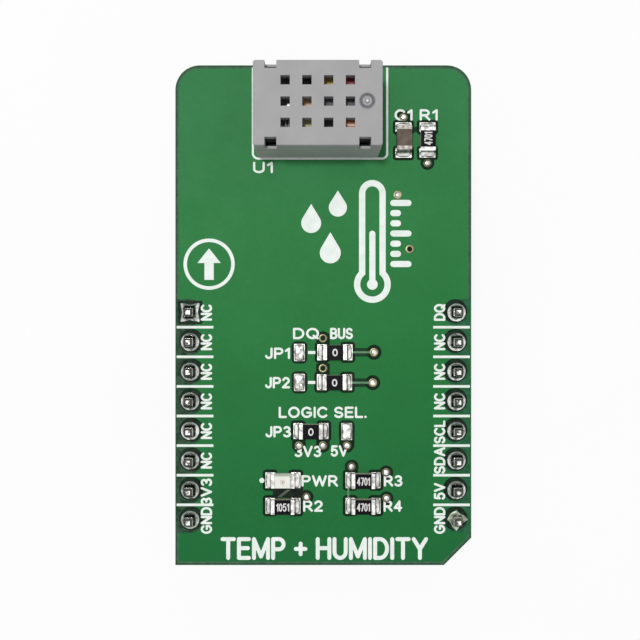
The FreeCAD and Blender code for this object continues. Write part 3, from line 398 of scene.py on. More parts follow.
class Shape:
    """Vertices and faces of one piece, in millimetres."""

    def __init__(self):
        self.points = []
        self.faces = []
        self.smooth = []

    def add(self, points, faces, smooth=False):
        base = len(self.points)
        self.points += [tuple(point) for point in points]
        self.faces += [tuple(base + index for index in face) for face in faces]
        self.smooth += [smooth] * len(faces)

    def loft(self, rings, smooth=True, closed=False):
        """Skin over rings that all have the same number of points; unless it is closed, caps end it."""
        count = len(rings[0])
        points = [point for ring in rings for point in ring]
        faces = []
        steps = len(rings) if closed else len(rings) - 1
        for step in range(steps):
            low = step * count
            high = (step + 1) % len(rings) * count
            for index in range(count):
                after = (index + 1) % count
                faces.append((low + index, low + after, high + after, high + index))
        self.add(points, faces, smooth)
        if not closed:
            base = len(self.points) - len(points)
            top = base + (len(rings) - 1) * count
            self.faces.append(tuple(base + index for index in reversed(range(count))))
            self.faces.append(tuple(top + index for index in range(count)))
            self.smooth += [False, False]

    def plate(self, outline, low, high):
        """A flat plate over an outline that runs counterclockwise."""
        self.loft([[(x, y, level) for x, y in outline] for level in (low, high)], smooth=False)

    def frame(self, outer, inner, low, high):
        """A flat ring between two outlines with the same number of points."""
        rings = [[(x, y, low) for x, y in outer], [(x, y, high) for x, y in outer],
                 [(x, y, high) for x, y in inner], [(x, y, low) for x, y in inner]]
        self.loft(rings, smooth=False, closed=True)

    def build(self, name, material):
        mesh = bpy.data.meshes.new(name)
        mesh.from_pydata([(x * MM, y * MM, z * MM) for x, y, z in self.points], [], self.faces)
        mesh.polygons.foreach_set("use_smooth", self.smooth)
        mesh.materials.append(material)
        mesh.validate()
        mesh.update()
        piece = bpy.data.objects.new(name, mesh)
        bpy.context.scene.collection.objects.link(piece)
        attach(piece, "root")
        return piece


def polar(x, y, reach, angle):
    """The point at a distance and an angle from a place."""
    return (x + reach * math.cos(angle), y + reach * math.sin(angle))


def circle(x, y, radius, sides):
    return [polar(x, y, radius, math.tau / sides * step) for step in range(sides)]


def round_box(x, y, width, length, radius, quarter=False):
    """A rectangle with round corners; a quarter turn swaps its two sizes."""
    if quarter:
        width, length = length, width
    radius = min(radius, width / 2, length / 2)
    outline = []
    for side_x, side_y, first in ((1, -1, -90), (1, 1, 0), (-1, 1, 90), (-1, -1, 180)):
        centre_x = x + side_x * (width / 2 - radius)
        centre_y = y + side_y * (length / 2 - radius)
        for step in range(BEND_STEPS + 1):
            angle = math.radians(first + 90 * step / BEND_STEPS)
            outline.append(polar(centre_x, centre_y, radius, angle))
    return outline


def turned(point, x, y, quarter=False):
    """A point of a part's own frame put at the part's place, turned a quarter if asked."""
    across, along, height = point
    if quarter:
        across, along = -along, across
    return (x + across, y + along, height)


def part_place(name, quarter=False):
    """Name, X, Y, and turned a quarter or not, from a small part's CAD node."""
    centre = middle(name)
    return (name, centre.x, centre.y, quarter)


chips = [part_place(name, name == "resistor_one") for name in CODES]
resistor_one = chips[-1]
capacitor = part_place("capacitor_body", True)
diode = part_place("diode_lens")
small_parts = chips + [capacitor, diode]
CHIP_LENGTH = extent("diode_caps").x
CHIP_WIDTH = extent("diode_caps").y
pins = [(side, index, middle(f"header_pin_{side}_{index}"))
        for side in ("left", "right") for index in range(1, PIN_COUNT + 1)]

OPEN_PADS = [(-2.05, -3.2), (-2.05, -5.77), (2.01, -9.98)]
OPEN_PAD_WIDTH = 0.9
OPEN_PAD_LENGTH = 1.45

# Vias: open ones, filled ones at the ends of the traces, filled ones with a duller ring, and two vias
# without a gap round them
SIDE_VIA_REACH = 1.96
OPEN_VIAS = [(-0.03, -1.98), (-0.03, -4.56)]
TRACE_VIAS = [(4.35, -3.18), (4.25, -5.79)]
DULL_VIAS = [
    (-0.03, -11.19), (-2.09, -11.2), (2.03, -11.2), (-1.44, -15.6), (2.43, -13.0), (5.4, -13.5),
    (5.42, -15.72),
    (capacitor[1], capacitor[2] + SIDE_VIA_REACH), (resistor_one[1], resistor_one[2] - SIDE_VIA_REACH),
]
FILLED_VIAS = TRACE_VIAS + DULL_VIAS
PLAIN_OPEN_VIA = (7.42, 5.68)
PLAIN_FILLED_VIA = (6.39, 10.34)

# Films on the board: gaps in the copper under the mask, traces and zones. Where two cross, the higher shows.
GAP_HEIGHT = 0.004
GAP_STEP = 0.0001
TRACE_GAP_HEIGHT = 0.0035
ZONE_HEIGHT = 0.006
HEADER_GAP_HEIGHT = 0.007
CROSS_TRACE_HEIGHT = 0.0115
TRACE_HEIGHT = 0.012
PATCH_HEIGHT = 0.012
BAND_HEIGHT = 0.014


def film_piece(name, films, material):
    """A piece of thin plates on the board, from their outlines and heights."""
    shape = Shape()
    for outline, height in films:
        shape.plate(outline, BOARD_TOP, BOARD_TOP + height)
    shape.build(name, materials[material])


# Dark gaps round the pads and vias. Each lies a hair above the one before it.
PAD_INNER = 0.7
PAD_OUTER = 1.5
PAD_WIDTH = 1.35
PAD_GAP = 0.24
OPEN_PAD_GAP = 0.23
VIA_GAP_RADIUS = 0.6
TRACE_VIA_SPARE = 0.05
# Gaps that join a via to the pad beside it: centre X, Y, width, length
JOINING_GAPS = [
    (-0.03, -2.2, 1.16, 1.3), (-0.03, -4.75, 1.16, 1.2), (-2.09, -10.9, 1.16, 1.1), (-0.03, -10.9, 1.16, 1.1),
    (2.03, -10.75, 1.3, 1.3), (2.43, -13.3, 1.1, 0.9),
]


def gap_outlines():
    outlines = []
    length = PAD_OUTER - PAD_INNER + 2 * PAD_GAP
    width = PAD_WIDTH + 2 * PAD_GAP
    reach = (PAD_OUTER + PAD_INNER) / 2
    for name, x, y, quarter in small_parts:
        for side in (-1, 1):
            pad_x, pad_y, _ = turned((side * reach, 0, 0), x, y, quarter)
            outlines.append(round_box(pad_x, pad_y, length, width, 0.3, quarter=quarter))
    width = OPEN_PAD_WIDTH + 2 * OPEN_PAD_GAP
    length = OPEN_PAD_LENGTH + 2 * OPEN_PAD_GAP
    outlines += [round_box(x, y, width, length, 0.4) for x, y in OPEN_PADS]
    for x, y in OPEN_VIAS + FILLED_VIAS:
        spare = TRACE_VIA_SPARE if (x, y) in TRACE_VIAS else 0.0
        outlines.append(circle(x, y, VIA_GAP_RADIUS + spare, 28))
    for x, y, width, length in JOINING_GAPS:
        outlines.append(round_box(x, y, width, length, 0.1))
    return outlines


gaps = [(outline, GAP_HEIGHT + order * GAP_STEP) for order, outline in enumerate(gap_outlines())]
film_piece("mask_gaps", gaps, "clearance")

# Two traces from the links to their vias, each in a wider and greener gap; a third joins two resistors
TRACE_WIDTH = 0.17
TRACE_GAP_WIDTH = 0.74
CROSS_TRACE = (2.15, -15.25, TRACE_WIDTH, 1.0)
SIDE_GAP = (15.94, 0.9, 0.5)
traces = []
trace_gaps = []
for link, (via_x, via_y) in zip(("link_one", "link_two"), TRACE_VIAS):
    start = middle(link).x + PAD_OUTER
    place = ((start + via_x) / 2, via_y, via_x - start)
    trace_gaps.append((round_box(*place, TRACE_GAP_WIDTH, 0.05), TRACE_GAP_HEIGHT))
    traces.append((round_box(*place, TRACE_WIDTH, 0.02), TRACE_HEIGHT))
trace_gaps.append((round_box((capacitor[1] + resistor_one[1]) / 2, *SIDE_GAP, 0.05), TRACE_GAP_HEIGHT))
traces.append((round_box(*CROSS_TRACE, 0.02), CROSS_TRACE_HEIGHT))
film_piece("trace_gaps", trace_gaps, "trace_gap")

# A dark patch between the diode and the resistor below it, crossed by a paler band
PATCH = (-3.03, -15.28, 2.6, 0.8)
BAND = [(-3.95, -15.62), (-3.6, -15.62), (-2.82, -14.98), (-3.17, -14.98)]
film_piece("dark_patch", [(round_box(*PATCH, 0.1), PATCH_HEIGHT)], "dark_patch")
film_piece("pale_band", [(BAND, BAND_HEIGHT)], "grey_patch")

# Gaps round the pins' joints, and the zones from them to the board's edge: round towards the middle of the
# board, straight at the edge
HEADER_GAP_RADIUS = 1.04
SQUARE_GAP = (2.1, 2.0)
SQUARE_GAP_SHIFT = 0.02
# Painted shadow: each joint's dark gap is real clearance, darkened and shifted up the board and towards its
# middle, where the joint's shadow falls
PAINTED_SHADOW_SHIFT = 0.1
ZONE_REACH = 1.13
ZONE_EDGE = 0.06
header_gaps = []
zones = {"left": [], "right": []}
for side, index, centre in pins:
    outward = -1 if side == "left" else 1
    if side == "left" and index == 1:
        outline = round_box(centre.x + SQUARE_GAP_SHIFT, centre.y, *SQUARE_GAP, 0.15)
    else:
        outline = circle(centre.x - outward * PAINTED_SHADOW_SHIFT, centre.y + PAINTED_SHADOW_SHIFT, HEADER_GAP_RADIUS, 40)
    header_gaps.append((outline, HEADER_GAP_HEIGHT))
    edge = outward * (BOARD_RIGHT - ZONE_EDGE)
    reach = outward * ZONE_REACH
    outline = [(edge, centre.y - reach), (edge, centre.y + reach)]
    outline += [polar(centre.x, centre.y, reach, math.radians(angle)) for angle in range(90, 271, 10)]
    zones[side].append((outline, ZONE_HEIGHT))
film_piece("header_gaps", header_gaps, "pad_gap")
film_piece("left_zones", zones["left"], "header_zone")
film_piece("right_zones", zones["right"], "right_zone")
film_piece("mask_traces", traces, "trace")


# Solder joints of the headers and the sensor's leads: levels as shares of a joint's height and reach
JOINT_LEVELS = [(0.0, 1.0), (0.06, 0.985), (0.1, 0.92), (0.14, 0.79), (0.19, 0.66), (0.26, 0.53),
                (0.38, 0.38), (0.56, 0.24), (0.76, 0.12), (0.9, 0.04), (1.0, 0.0)]
JOINT_POINTS = 48
JOINT_TURNS = [math.tau * step / JOINT_POINTS for step in range(JOINT_POINTS)]
JOINT_COLLAR = 0.025
JOINT_HEIGHT = 0.72
JOINT_FOOT = 0.8
SQUARE_FOOT = 0.825
SQUARE_HOLLOW = 0.13
DULL_HEIGHT = 0.5
DULL_FOOT = 0.92
DULL_SPREAD = 0.3
PIN_HALF = 0.32
LEAD_HALF = 0.2
LEAD_COUNT = 4
LEAD_JOINT_HEIGHT = 0.7
LEAD_JOINT_FOOT = 0.62


def square_reach(angle, half):
    """Distance from the middle of a square to its side at an angle."""
    return half / max(abs(math.cos(angle)), abs(math.sin(angle)))


def joint_rings(x, y, floor, height, foot, wire_half, source, square=False, up=1.0, spread_out=0.0):
    """Rings of a joint that starts at its pad and ends as a thin collar on the square wire."""
    phase = source.uniform(0, math.tau)
    lean = source.uniform(0.02, 0.06)
    rings = []
    for rise, share in JOINT_LEVELS:
        level = floor + up * height * rise
        ring = []
        for angle in JOINT_TURNS:
            collar = square_reach(angle, wire_half) + JOINT_COLLAR
            wide = foot
            if square:
                wide = square_reach(angle, foot - SQUARE_HOLLOW * math.cos(2 * angle) ** 2)
            wide *= 1 - spread_out * (abs(math.sin(2 * angle)) ** 0.7 - 0.35 * math.sin(3 * angle + 0.8))
            wave = 1 + lean * math.sin(2 * angle + phase) * share * (1 - share) * 3
            reach = collar + (wide - collar) * share * wave
            ring.append((*polar(x, y, reach, angle), level))
        rings.append(ring)
    for level in (floor + up * height, floor):
        rings.append([(*polar(x, y, square_reach(angle, wire_half), angle), level) for angle in JOINT_TURNS])
    if up < 0:
        rings = [list(reversed(ring)) for ring in rings]
    return rings


joint_source = random.Random(SEED)
dull_joint = Shape()
for side in ("left", "right"):
    joints = Shape()
    for row_side, index, centre in pins:
        if row_side != side:
            continue
        if side == "right" and index == PIN_COUNT:
            # The last joint is dull and spreads into four corners
            rings = joint_rings(centre.x, centre.y, BOARD_TOP, DULL_HEIGHT, DULL_FOOT, PIN_HALF, joint_source,
                                spread_out=DULL_SPREAD)
            dull_joint.loft(rings, closed=True)
            continue
        square = side == "left" and index == 1
        height = JOINT_HEIGHT * joint_source.uniform(0.88, 1.0)
        foot = SQUARE_FOOT if square else JOINT_FOOT
        rings = joint_rings(centre.x, centre.y, BOARD_TOP, height, foot, PIN_HALF, joint_source, square)
        joints.loft(rings, closed=True)
    piece = joints.build(f"header_joints_{side}", materials["solder"])
    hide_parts(f"header_solder_{side}")
dull_joint.build("dull_joint", materials["dull_solder"])

lead_low, lead_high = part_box("sensor_leads")
lead_y = (lead_low.y + lead_high.y) / 2 / MM
lead_first = lead_low.x / MM + LEAD_HALF
lead_pitch = (lead_high.x / MM - LEAD_HALF - lead_first) / (LEAD_COUNT - 1)
lead_joints = Shape()
for index in range(LEAD_COUNT):
    rings = joint_rings(lead_first + index * lead_pitch, lead_y, BOARD_FLOOR, LEAD_JOINT_HEIGHT,
                        LEAD_JOINT_FOOT, LEAD_HALF, joint_source, up=-1.0)
    lead_joints.loft(rings, closed=True)
piece = lead_joints.build("lead_joints", materials["solder"])
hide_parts("sensor_solder")


# Solder that climbs the end caps of the small parts
FILLET_STATIONS = 8
FILLET_STEPS = 6
FILLET_REACH = 0.45
FILLET_FOOT = 0.02
FILLET_INSET = 0.01
FILLET_SPARE = 0.03
FILLET_HOLLOW = 1.7
FILLET_END = 0.55
FILLET_RISE = {"capacitor_body": 0.72, "diode_lens": 0.28}
CHIP_FILLET_RISE = 0.42


def fillet_rings(x, y, quarter, side, rise, source):
    """Rings across the part's width; each is a hollow flank that is shorter towards both sides."""
    start = CHIP_LENGTH / 2
    rings = []
    for station in range(FILLET_STATIONS + 1):
        share = station / FILLET_STATIONS * 2 - 1
        fade = FILLET_END + (1 - FILLET_END) * math.sqrt(max(0.0, 1 - abs(share) ** 4))
        reach = FILLET_REACH * fade * source.uniform(0.97, 1.03)
        top = rise * fade
        along = share * (CHIP_WIDTH / 2 + FILLET_SPARE)
        flank = [(start - FILLET_INSET, 0.0)]
        for step in range(FILLET_STEPS + 1):
            part = step / FILLET_STEPS
            flank.append((start + reach * (1 - part) ** FILLET_HOLLOW,
                          FILLET_FOOT + (top - FILLET_FOOT) * part ** FILLET_HOLLOW))
        flank.append((start - FILLET_INSET, top))
        rings.append([turned((side * across, along, PAD_TOP + height), x, y, quarter)
                      for across, height in flank])
    if side > 0:
        rings.reverse()
    return rings


fillet_source = random.Random(SEED + 1)
fillets = Shape()
for name, x, y, quarter in small_parts:
    rise = FILLET_RISE.get(name, CHIP_FILLET_RISE)
    for side in (-1, 1):
        fillets.loft(fillet_rings(x, y, quarter, side, rise, fillet_source))
piece = fillets.build("chip_solder", materials["tinned"])
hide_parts("solder_fillets")


# Uneven lumps of solder on the bare pads of the unused link places
LUMP_COLUMNS = 12
LUMP_ROWS = 16
LUMP_HEIGHT = 0.2
LUMP_INSET = 0.03
LUMP_SINK = 0.01


def lump(shape, x, y, width, length, source):
    phase = source.uniform(0, math.tau)
    points = []
    for row in range(LUMP_ROWS + 1):
        for column in range(LUMP_COLUMNS + 1):
            u = column / LUMP_COLUMNS * 2 - 1
            v = row / LUMP_ROWS * 2 - 1
            across = u * math.sqrt(1 - v * v * 0.16)
            along = v * math.sqrt(1 - u * u * 0.12)
            swell = (1 - abs(u) ** 5) * (1 - abs(v) ** 6)
            ripple = 1 + 0.22 * math.sin(5.5 * v + phase) * math.cos(3.5 * u + phase)
            height = LUMP_HEIGHT * swell * ripple
            points.append((x + across * width / 2, y + along * length / 2, PAD_TOP + height))
    count = len(points)
    across_count = LUMP_COLUMNS + 1
    faces = []
    for row in range(LUMP_ROWS):
        for column in range(LUMP_COLUMNS):
            first = row * across_count + column
            faces.append((first, first + 1, first + 1 + across_count, first + across_count))
    rim = list(range(across_count))
    rim += [row * across_count + LUMP_COLUMNS for row in range(1, LUMP_ROWS + 1)]
    rim += [LUMP_ROWS * across_count + column for column in range(LUMP_COLUMNS - 1, -1, -1)]
    rim += [row * across_count for row in range(LUMP_ROWS - 1, 0, -1)]
    foot = [(points[index][0], points[index][1], PAD_TOP - LUMP_SINK) for index in rim]
    walls = []
    for order, index in enumerate(rim):
        after = (order + 1) % len(rim)
        walls.append((index, count + order, count + after, rim[after]))
    bottom = [tuple(count + order for order in reversed(range(len(rim))))]
    shape.add(points + foot, faces + walls + bottom, True)


lump_source = random.Random(SEED + 2)
lumps = Shape()
for x, y in OPEN_PADS:
    lump(lumps, x, y, OPEN_PAD_WIDTH - LUMP_INSET, OPEN_PAD_LENGTH - LUMP_INSET, lump_source)
piece = lumps.build("pad_solder", materials["tinned"])
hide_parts("open_pad_solder")


# Vias: a rounded copper ring on both sides of the board, with a drop of solder in the middle of the filled
# ones; every bore holds a near-black plug, painted shade that stands in for the dark hole.
# Profiles are radius and height.
VIA_SIDES = 28
RING_PROFILE = [(0.38, 0.0), (0.375, 0.02), (0.35, 0.035), (0.25, 0.035), (0.215, 0.025), (0.205, 0.0)]
DROP_PROFILE = [(0.24, 0.0), (0.23, 0.03), (0.2, 0.055), (0.14, 0.075), (0.06, 0.085)]
DROP_LIFT = 0.02
BORE_RADIUS = 0.21
BORE_RISE = 0.006


def profile_rings(x, y, profile, level, up=1.0):
    rings = []
    for radius, height in profile:
        rings.append([(px, py, level + up * height) for px, py in circle(x, y, radius, VIA_SIDES)])
    if up < 0:
        rings.reverse()
    return rings


bright_lands = Shape()
dull_lands = Shape()
bores = Shape()
drops = Shape()
for x, y in OPEN_VIAS + FILLED_VIAS + [PLAIN_OPEN_VIA, PLAIN_FILLED_VIA]:
    lands = dull_lands if (x, y) in DULL_VIAS else bright_lands
    lands.loft(profile_rings(x, y, RING_PROFILE, BOARD_TOP), closed=True)
    lands.loft(profile_rings(x, y, RING_PROFILE, BOARD_FLOOR, -1.0), closed=True)
    # Painted shade: a near-black plug fills each bore where the through hole would look dark
    bores.plate(circle(x, y, BORE_RADIUS, VIA_SIDES), BOARD_FLOOR - BORE_RISE, BOARD_TOP + BORE_RISE)
for x, y in FILLED_VIAS + [PLAIN_FILLED_VIA]:
    drops.loft(profile_rings(x, y, DROP_PROFILE, BOARD_TOP + DROP_LIFT))
piece = bright_lands.build("via_lands", materials["copper"])
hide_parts("via_rings")
dull_lands.build("dull_via_lands", materials["dull_copper"])
bores.build("via_bores", materials["hole"])
drops.build("via_solder", materials["tinned"])


# Lettering: pin functions, places of parts, and values. Words, X, Y, width.
LABEL_HEIGHT = 0.98
LABEL_STROKE = 0.19
TITLE_STROKE = 0.34
LABELS = [
    ("DQ", -1.485, -1.571, 2.23), ("BUS", 1.562, -1.571, 1.97), ("JP1", -3.93, -3.27, 2.15),
    ("JP2", -3.93, -5.79, 2.15), ("LOGIC SEL.", -0.056, -8.335, 7.545), ("JP3", -3.87, -10.0, 2.2),
    ("3V3", -1.322, -11.69, 2.3), ("5V", 1.365, -11.65, 1.5), ("PWR", -0.309, -14.215, 3.14),
    ("R2", -0.884, -16.378, 1.7), ("R3", 5.996, -14.215, 1.6), ("R4", 5.97, -16.378, 1.6),
    ("C1", 6.884, 17.185, 1.55), ("R1", 9.043, 17.185, 1.55), ("U1", -5.176, 12.678, 1.7),
]

# Labels of the pins, which read upwards
LEFT_COLUMN = -10.03
RIGHT_COLUMN = 9.98
pin_y = {(side, index): centre.y for side, index, centre in pins}
PIN_LABELS = [("NC", LEFT_COLUMN, pin_y["left", index], 1.41) for index in range(1, 7)]
PIN_LABELS += [
    ("3V3", LEFT_COLUMN, -15.16, 2.3), ("GND", LEFT_COLUMN, -17.61, 2.3), ("DQ", RIGHT_COLUMN, 0.24, 1.45),
    ("NC", RIGHT_COLUMN, -2.3, 1.41), ("NC", RIGHT_COLUMN, -4.84, 1.41), ("NC", RIGHT_COLUMN, -7.38, 1.41),
    ("SCL", RIGHT_COLUMN, -10.03, 2.0), ("SDA", RIGHT_COLUMN, -12.47, 2.3),
    ("5V", RIGHT_COLUMN, -15.12, 1.45), ("GND", RIGHT_COLUMN, -17.61, 2.3),
]
# Words, X, Y, width, height
TITLE = ("TEMP + HUMIDITY", 0.086, -20.02, 17.8, 1.95)

# The dot beside the diode: X, Y, radius
DIODE_DOT = (-5.27, -14.18, 0.22)


# Letters of height 1: their width, then the middle lines of their strokes
def arc(x, y, wide, tall, first, last, steps=12):
    turns = [math.radians(first + (last - first) * step / steps) for step in range(steps + 1)]
    return [(x + wide * math.cos(turn), y + tall * math.sin(turn)) for turn in turns]


BOWL = [(0, 0), (0, 1), (0.34, 1)] + arc(0.34, 0.73, 0.27, 0.27, 90, -90) + [(0, 0.46)]
GLYPHS = {
    "A": (0.78, [[(0, 0), (0.39, 1), (0.78, 0)], [(0.14, 0.34), (0.64, 0.34)]]),
    "B": (0.64, [[(0, 0), (0, 1), (0.34, 1)] + arc(0.34, 0.765, 0.25, 0.235, 90, -90) + [(0, 0.53)],
                 [(0.34, 0.53)] + arc(0.36, 0.265, 0.28, 0.265, 90, -90) + [(0, 0)]]),
    "C": (0.74, [arc(0.4, 0.5, 0.4, 0.5, 42, 318, 20)]),
    "D": (0.7, [[(0, 0), (0, 1), (0.28, 1)] + arc(0.28, 0.5, 0.42, 0.5, 90, -90, 16) + [(0, 0)]]),
    "E": (0.58, [[(0.58, 1), (0, 1), (0, 0), (0.58, 0)], [(0, 0.52), (0.52, 0.52)]]),
    "G": (0.78, [arc(0.4, 0.5, 0.4, 0.5, 42, 322, 20) + [(0.76, 0.22), (0.76, 0.46), (0.44, 0.46)]]),
    "H": (0.68, [[(0, 0), (0, 1)], [(0.68, 0), (0.68, 1)], [(0, 0.52), (0.68, 0.52)]]),
    "I": (0.0, [[(0, 0), (0, 1)]]),
    "J": (0.46, [[(0.46, 1), (0.46, 0.26)] + arc(0.23, 0.25, 0.23, 0.25, 0, -170)]),
    "L": (0.52, [[(0, 1), (0, 0), (0.52, 0)]]),
    "M": (0.82, [[(0, 0), (0, 1), (0.41, 0.08), (0.82, 1), (0.82, 0)]]),
    "N": (0.68, [[(0, 0), (0, 1), (0.68, 0), (0.68, 1)]]),
    "O": (0.82, [arc(0.41, 0.5, 0.41, 0.5, 0, 360, 28)]),
    "P": (0.61, [BOWL]),
    "Q": (0.82, [arc(0.41, 0.5, 0.41, 0.5, 0, 360, 28), [(0.5, 0.26), (0.8, -0.02)]]),
    "R": (0.66, [BOWL, [(0.32, 0.46), (0.66, 0)]]),
    "S": (0.64, [arc(0.32, 0.745, 0.29, 0.255, 25, 270, 14) + arc(0.32, 0.245, 0.31, 0.245, 90, -160, 14)]),
    "T": (0.66, [[(0, 1), (0.66, 1)], [(0.33, 1), (0.33, 0)]]),
    "U": (0.66, [[(0, 1), (0, 0.33)] + arc(0.33, 0.33, 0.33, 0.33, 180, 360) + [(0.66, 1)]]),
    "V": (0.74, [[(0, 1), (0.37, 0), (0.74, 1)]]),
    "W": (1.1, [[(0, 1), (0.28, 0), (0.55, 0.95), (0.82, 0), (1.1, 1)]]),
    "Y": (0.72, [[(0, 1), (0.36, 0.47), (0.72, 1)], [(0.36, 0.47), (0.36, 0)]]),
    "0": (0.56, [arc(0.28, 0.5, 0.28, 0.5, 0, 360, 24)]),
    "1": (0.26, [[(0, 0.76), (0.26, 1), (0.26, 0)]]),
    "2": (0.58, [arc(0.29, 0.72, 0.27, 0.28, 165, -35, 14) + [(0, 0), (0.58, 0)]]),
    "3": (0.56, [arc(0.27, 0.755, 0.25, 0.245, 150, -90, 12), arc(0.27, 0.255, 0.29, 0.255, 90, -150, 14)]),
    "4": (0.6, [[(0.44, 0), (0.44, 1), (0, 0.3), (0.6, 0.3)]]),
    "5": (0.57, [[(0.52, 1), (0.1, 1), (0.05, 0.5)] + arc(0.28, 0.32, 0.29, 0.32, 130, -150, 14)]),
    "7": (0.54, [[(0, 1), (0.54, 1), (0.2, 0)]]),
    "+": (0.56, [[(0, 0.48), (0.56, 0.48)], [(0.28, 0.2), (0.28, 0.76)]]),
    ".": (0.0, [[(0, 0), (0, 0.02)]]),
    " ": (0.12, []),
}
LETTER_GAP = 0.3
SAME_POINT = 1e-6
SHARP_TURN = math.radians(50)
ROUND_END = (90, 60, 30)
BLUNT_END = 0.08
# Strokes that cross have tops at slightly different levels
STROKE_LEVELS = 8
STROKE_STEP = 0.00012
LEVEL_STEP = 0.0015


def split_at_corners(line):
    """Cuts a line at its sharp corners, so that each piece bends gently."""
    pieces = [[line[0]]]
    for before, here, after in zip(line, line[1:], line[2:]):
        pieces[-1].append(here)
        first = math.atan2(here[1] - before[1], here[0] - before[0])
        second = math.atan2(after[1] - here[1], after[0] - here[0])
        turn = abs((second - first + math.pi) % math.tau - math.pi)
        if turn > SHARP_TURN:
            pieces.append([here])
    pieces[-1].append(line[-1])
    return pieces


def stroke_sections(line, half):
    """Middle point, direction and half width along a stroke, with round ends."""
    sections = []
    count = len(line)
    for index, (x, y) in enumerate(line):
        back = line[max(index - 1, 0)]
        ahead = line[min(index + 1, count - 1)]
        dx, dy = ahead[0] - back[0], ahead[1] - back[1]
        length = math.hypot(dx, dy) or 1.0
        sections.append(((x, y), (dx / length, dy / length), half))
    start, end = sections[0], sections[-1]
    head, tail = [], []
    for turn in ROUND_END:
        out = half * math.sin(math.radians(turn))
        wide = max(half * math.cos(math.radians(turn)), half * BLUNT_END)
        (x, y), (dx, dy), _ = start
        head.append(((x - dx * out, y - dy * out), (dx, dy), wide))
        (x, y), (dx, dy), _ = end
        tail.insert(0, ((x + dx * out, y + dy * out), (dx, dy), wide))
    return head + sections + tail


def add_words(shape, words, x, y, width, height, level, depth, thick, turn=0.0):
    """Words drawn with round strokes, fitted to a width and a height, as thin solids on a level."""
    advance = 0.0
    lines = []
    for letter in words:
        letter_width, strokes = GLYPHS[letter]
        for stroke in strokes:
            lines += split_at_corners([(advance + px, py) for px, py in stroke])
        advance += letter_width + LETTER_GAP
    total = advance - LETTER_GAP
    scale_x = (width - thick) / total
    scale_y = height - thick
    cosine, sine = math.cos(math.radians(turn)), math.sin(math.radians(turn))
    for order, line in enumerate(lines):
        top = level + depth - order % STROKE_LEVELS * STROKE_STEP
        placed = [((px - total / 2) * scale_x, (py - 0.5) * scale_y) for px, py in line]
        closed = len(line) > 3 and math.dist(line[0], line[-1]) < SAME_POINT
        sections = stroke_sections(placed, thick / 2)
        if closed:
            # A loop: drop the round ends and let the first section follow the last
            ends = len(ROUND_END)
            sections = sections[ends:-ends - 1]
            across = (placed[1][0] - placed[-2][0], placed[1][1] - placed[-2][1])
            reach = math.hypot(*across)
            sections[0] = (placed[0], (across[0] / reach, across[1] / reach), thick / 2)
        rings = []
        for (px, py), (dx, dy), half in sections:
            sides = [(px - dy * half, py + dx * half), (px + dy * half, py - dx * half)]
            (ax, ay), (bx, by) = [(x + u * cosine - v * sine, y + u * sine + v * cosine) for u, v in sides]
            rings.append([(ax, ay, level), (bx, by, level), (bx, by, top), (ax, ay, top)])
        shape.loft(rings, smooth=False, closed=closed)


print_depth = PRINT_TOP - BOARD_TOP
labels = Shape()
for words, x, y, width in LABELS:
    add_words(labels, words, x, y, width, LABEL_HEIGHT, BOARD_TOP, print_depth, LABEL_STROKE)
for order, (words, x, y, length) in enumerate(PIN_LABELS):
    # Neighbours that touch each other or a divider have tops at different levels
    depth = print_depth - LEVEL_STEP * (1 + order % 2)
    add_words(labels, words, x, y, length, LABEL_HEIGHT, BOARD_TOP, depth, LABEL_STROKE, 90.0)
words, x, y, width, height = TITLE
add_words(labels, words, x, y, width, height, BOARD_TOP, print_depth, TITLE_STROKE)
labels.plate(circle(*DIODE_DOT, 20), BOARD_TOP, PRINT_TOP)
labels.build("printed_labels", materials["print"])

# Codes on the parts: width, height and stroke of a single nought and of four figures
NOUGHT_SIZE = (0.46, 0.64, 0.115)
CODE_SIZE = (1.12, 0.69, 0.1)
INK_SINK = 0.005
CODE_DEPTH = 0.012
codes = Shape()
for name, x, y, quarter in chips:
    width, height, thick = NOUGHT_SIZE if CODES[name] == "0" else CODE_SIZE
    turn = 90.0 if quarter else 0.0
    add_words(codes, CODES[name], x, y, width, height, top_of(name) - INK_SINK, CODE_DEPTH, thick, turn)
codes.build("value_codes", materials["code"])

# The light source of the diode: a speck in a thin ring in the middle of its lens
lens_x, lens_y = diode[1], diode[2]
lens_low = top_of("diode_lens") - INK_SINK
lens_high = top_of("diode_lens") + 0.004
speck = Shape()
speck.frame(circle(lens_x, lens_y, 0.2, 24), circle(lens_x, lens_y, 0.175, 24), lens_low, lens_high)
speck.plate(round_box(lens_x + 0.02, lens_y, 0.17, 0.17, 0.06), lens_low, lens_high)
speck.build("diode_speck", materials["speck"])


# The mark moulded into the cover's top: a sunk ring round a raised dot
MARK_OFFSET_X = 3.95
MARK_OFFSET_Y = 0.12
MARK_RADIUS = 0.6
MARK_GROOVE = 0.2
MARK_SINK = 0.08
DOT_RISE = 0.07
DOT_RADIUS = 0.2
cover_low, cover_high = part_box("sensor_cover")
mark_x = (cover_low.x + cover_high.x) / 2 / MM + MARK_OFFSET_X
mark_y = (cover_low.y + cover_high.y) / 2 / MM + MARK_OFFSET_Y
dot_top = cover_high.z / MM
cover_top = dot_top - DOT_RISE
groove_floor = cover_top - MARK_SINK


def mark_ring(shape, outer, inner, low, high, sides=40):
    shape.frame(circle(mark_x, mark_y, outer, sides), circle(mark_x, mark_y, inner, sides), low, high)


# Painted shade: the groove's floor and a ring at the dot's foot are darker grey than the cover they are
# moulded in
mark = Shape()
mark_ring(mark, MARK_RADIUS - 0.005, MARK_RADIUS - MARK_GROOVE + 0.005, groove_floor, groove_floor + 0.01)
mark_ring(mark, DOT_RADIUS, 0.12, dot_top - 0.09, dot_top - 0.062, 24)
mark.build("mark_floor", materials["mark"])
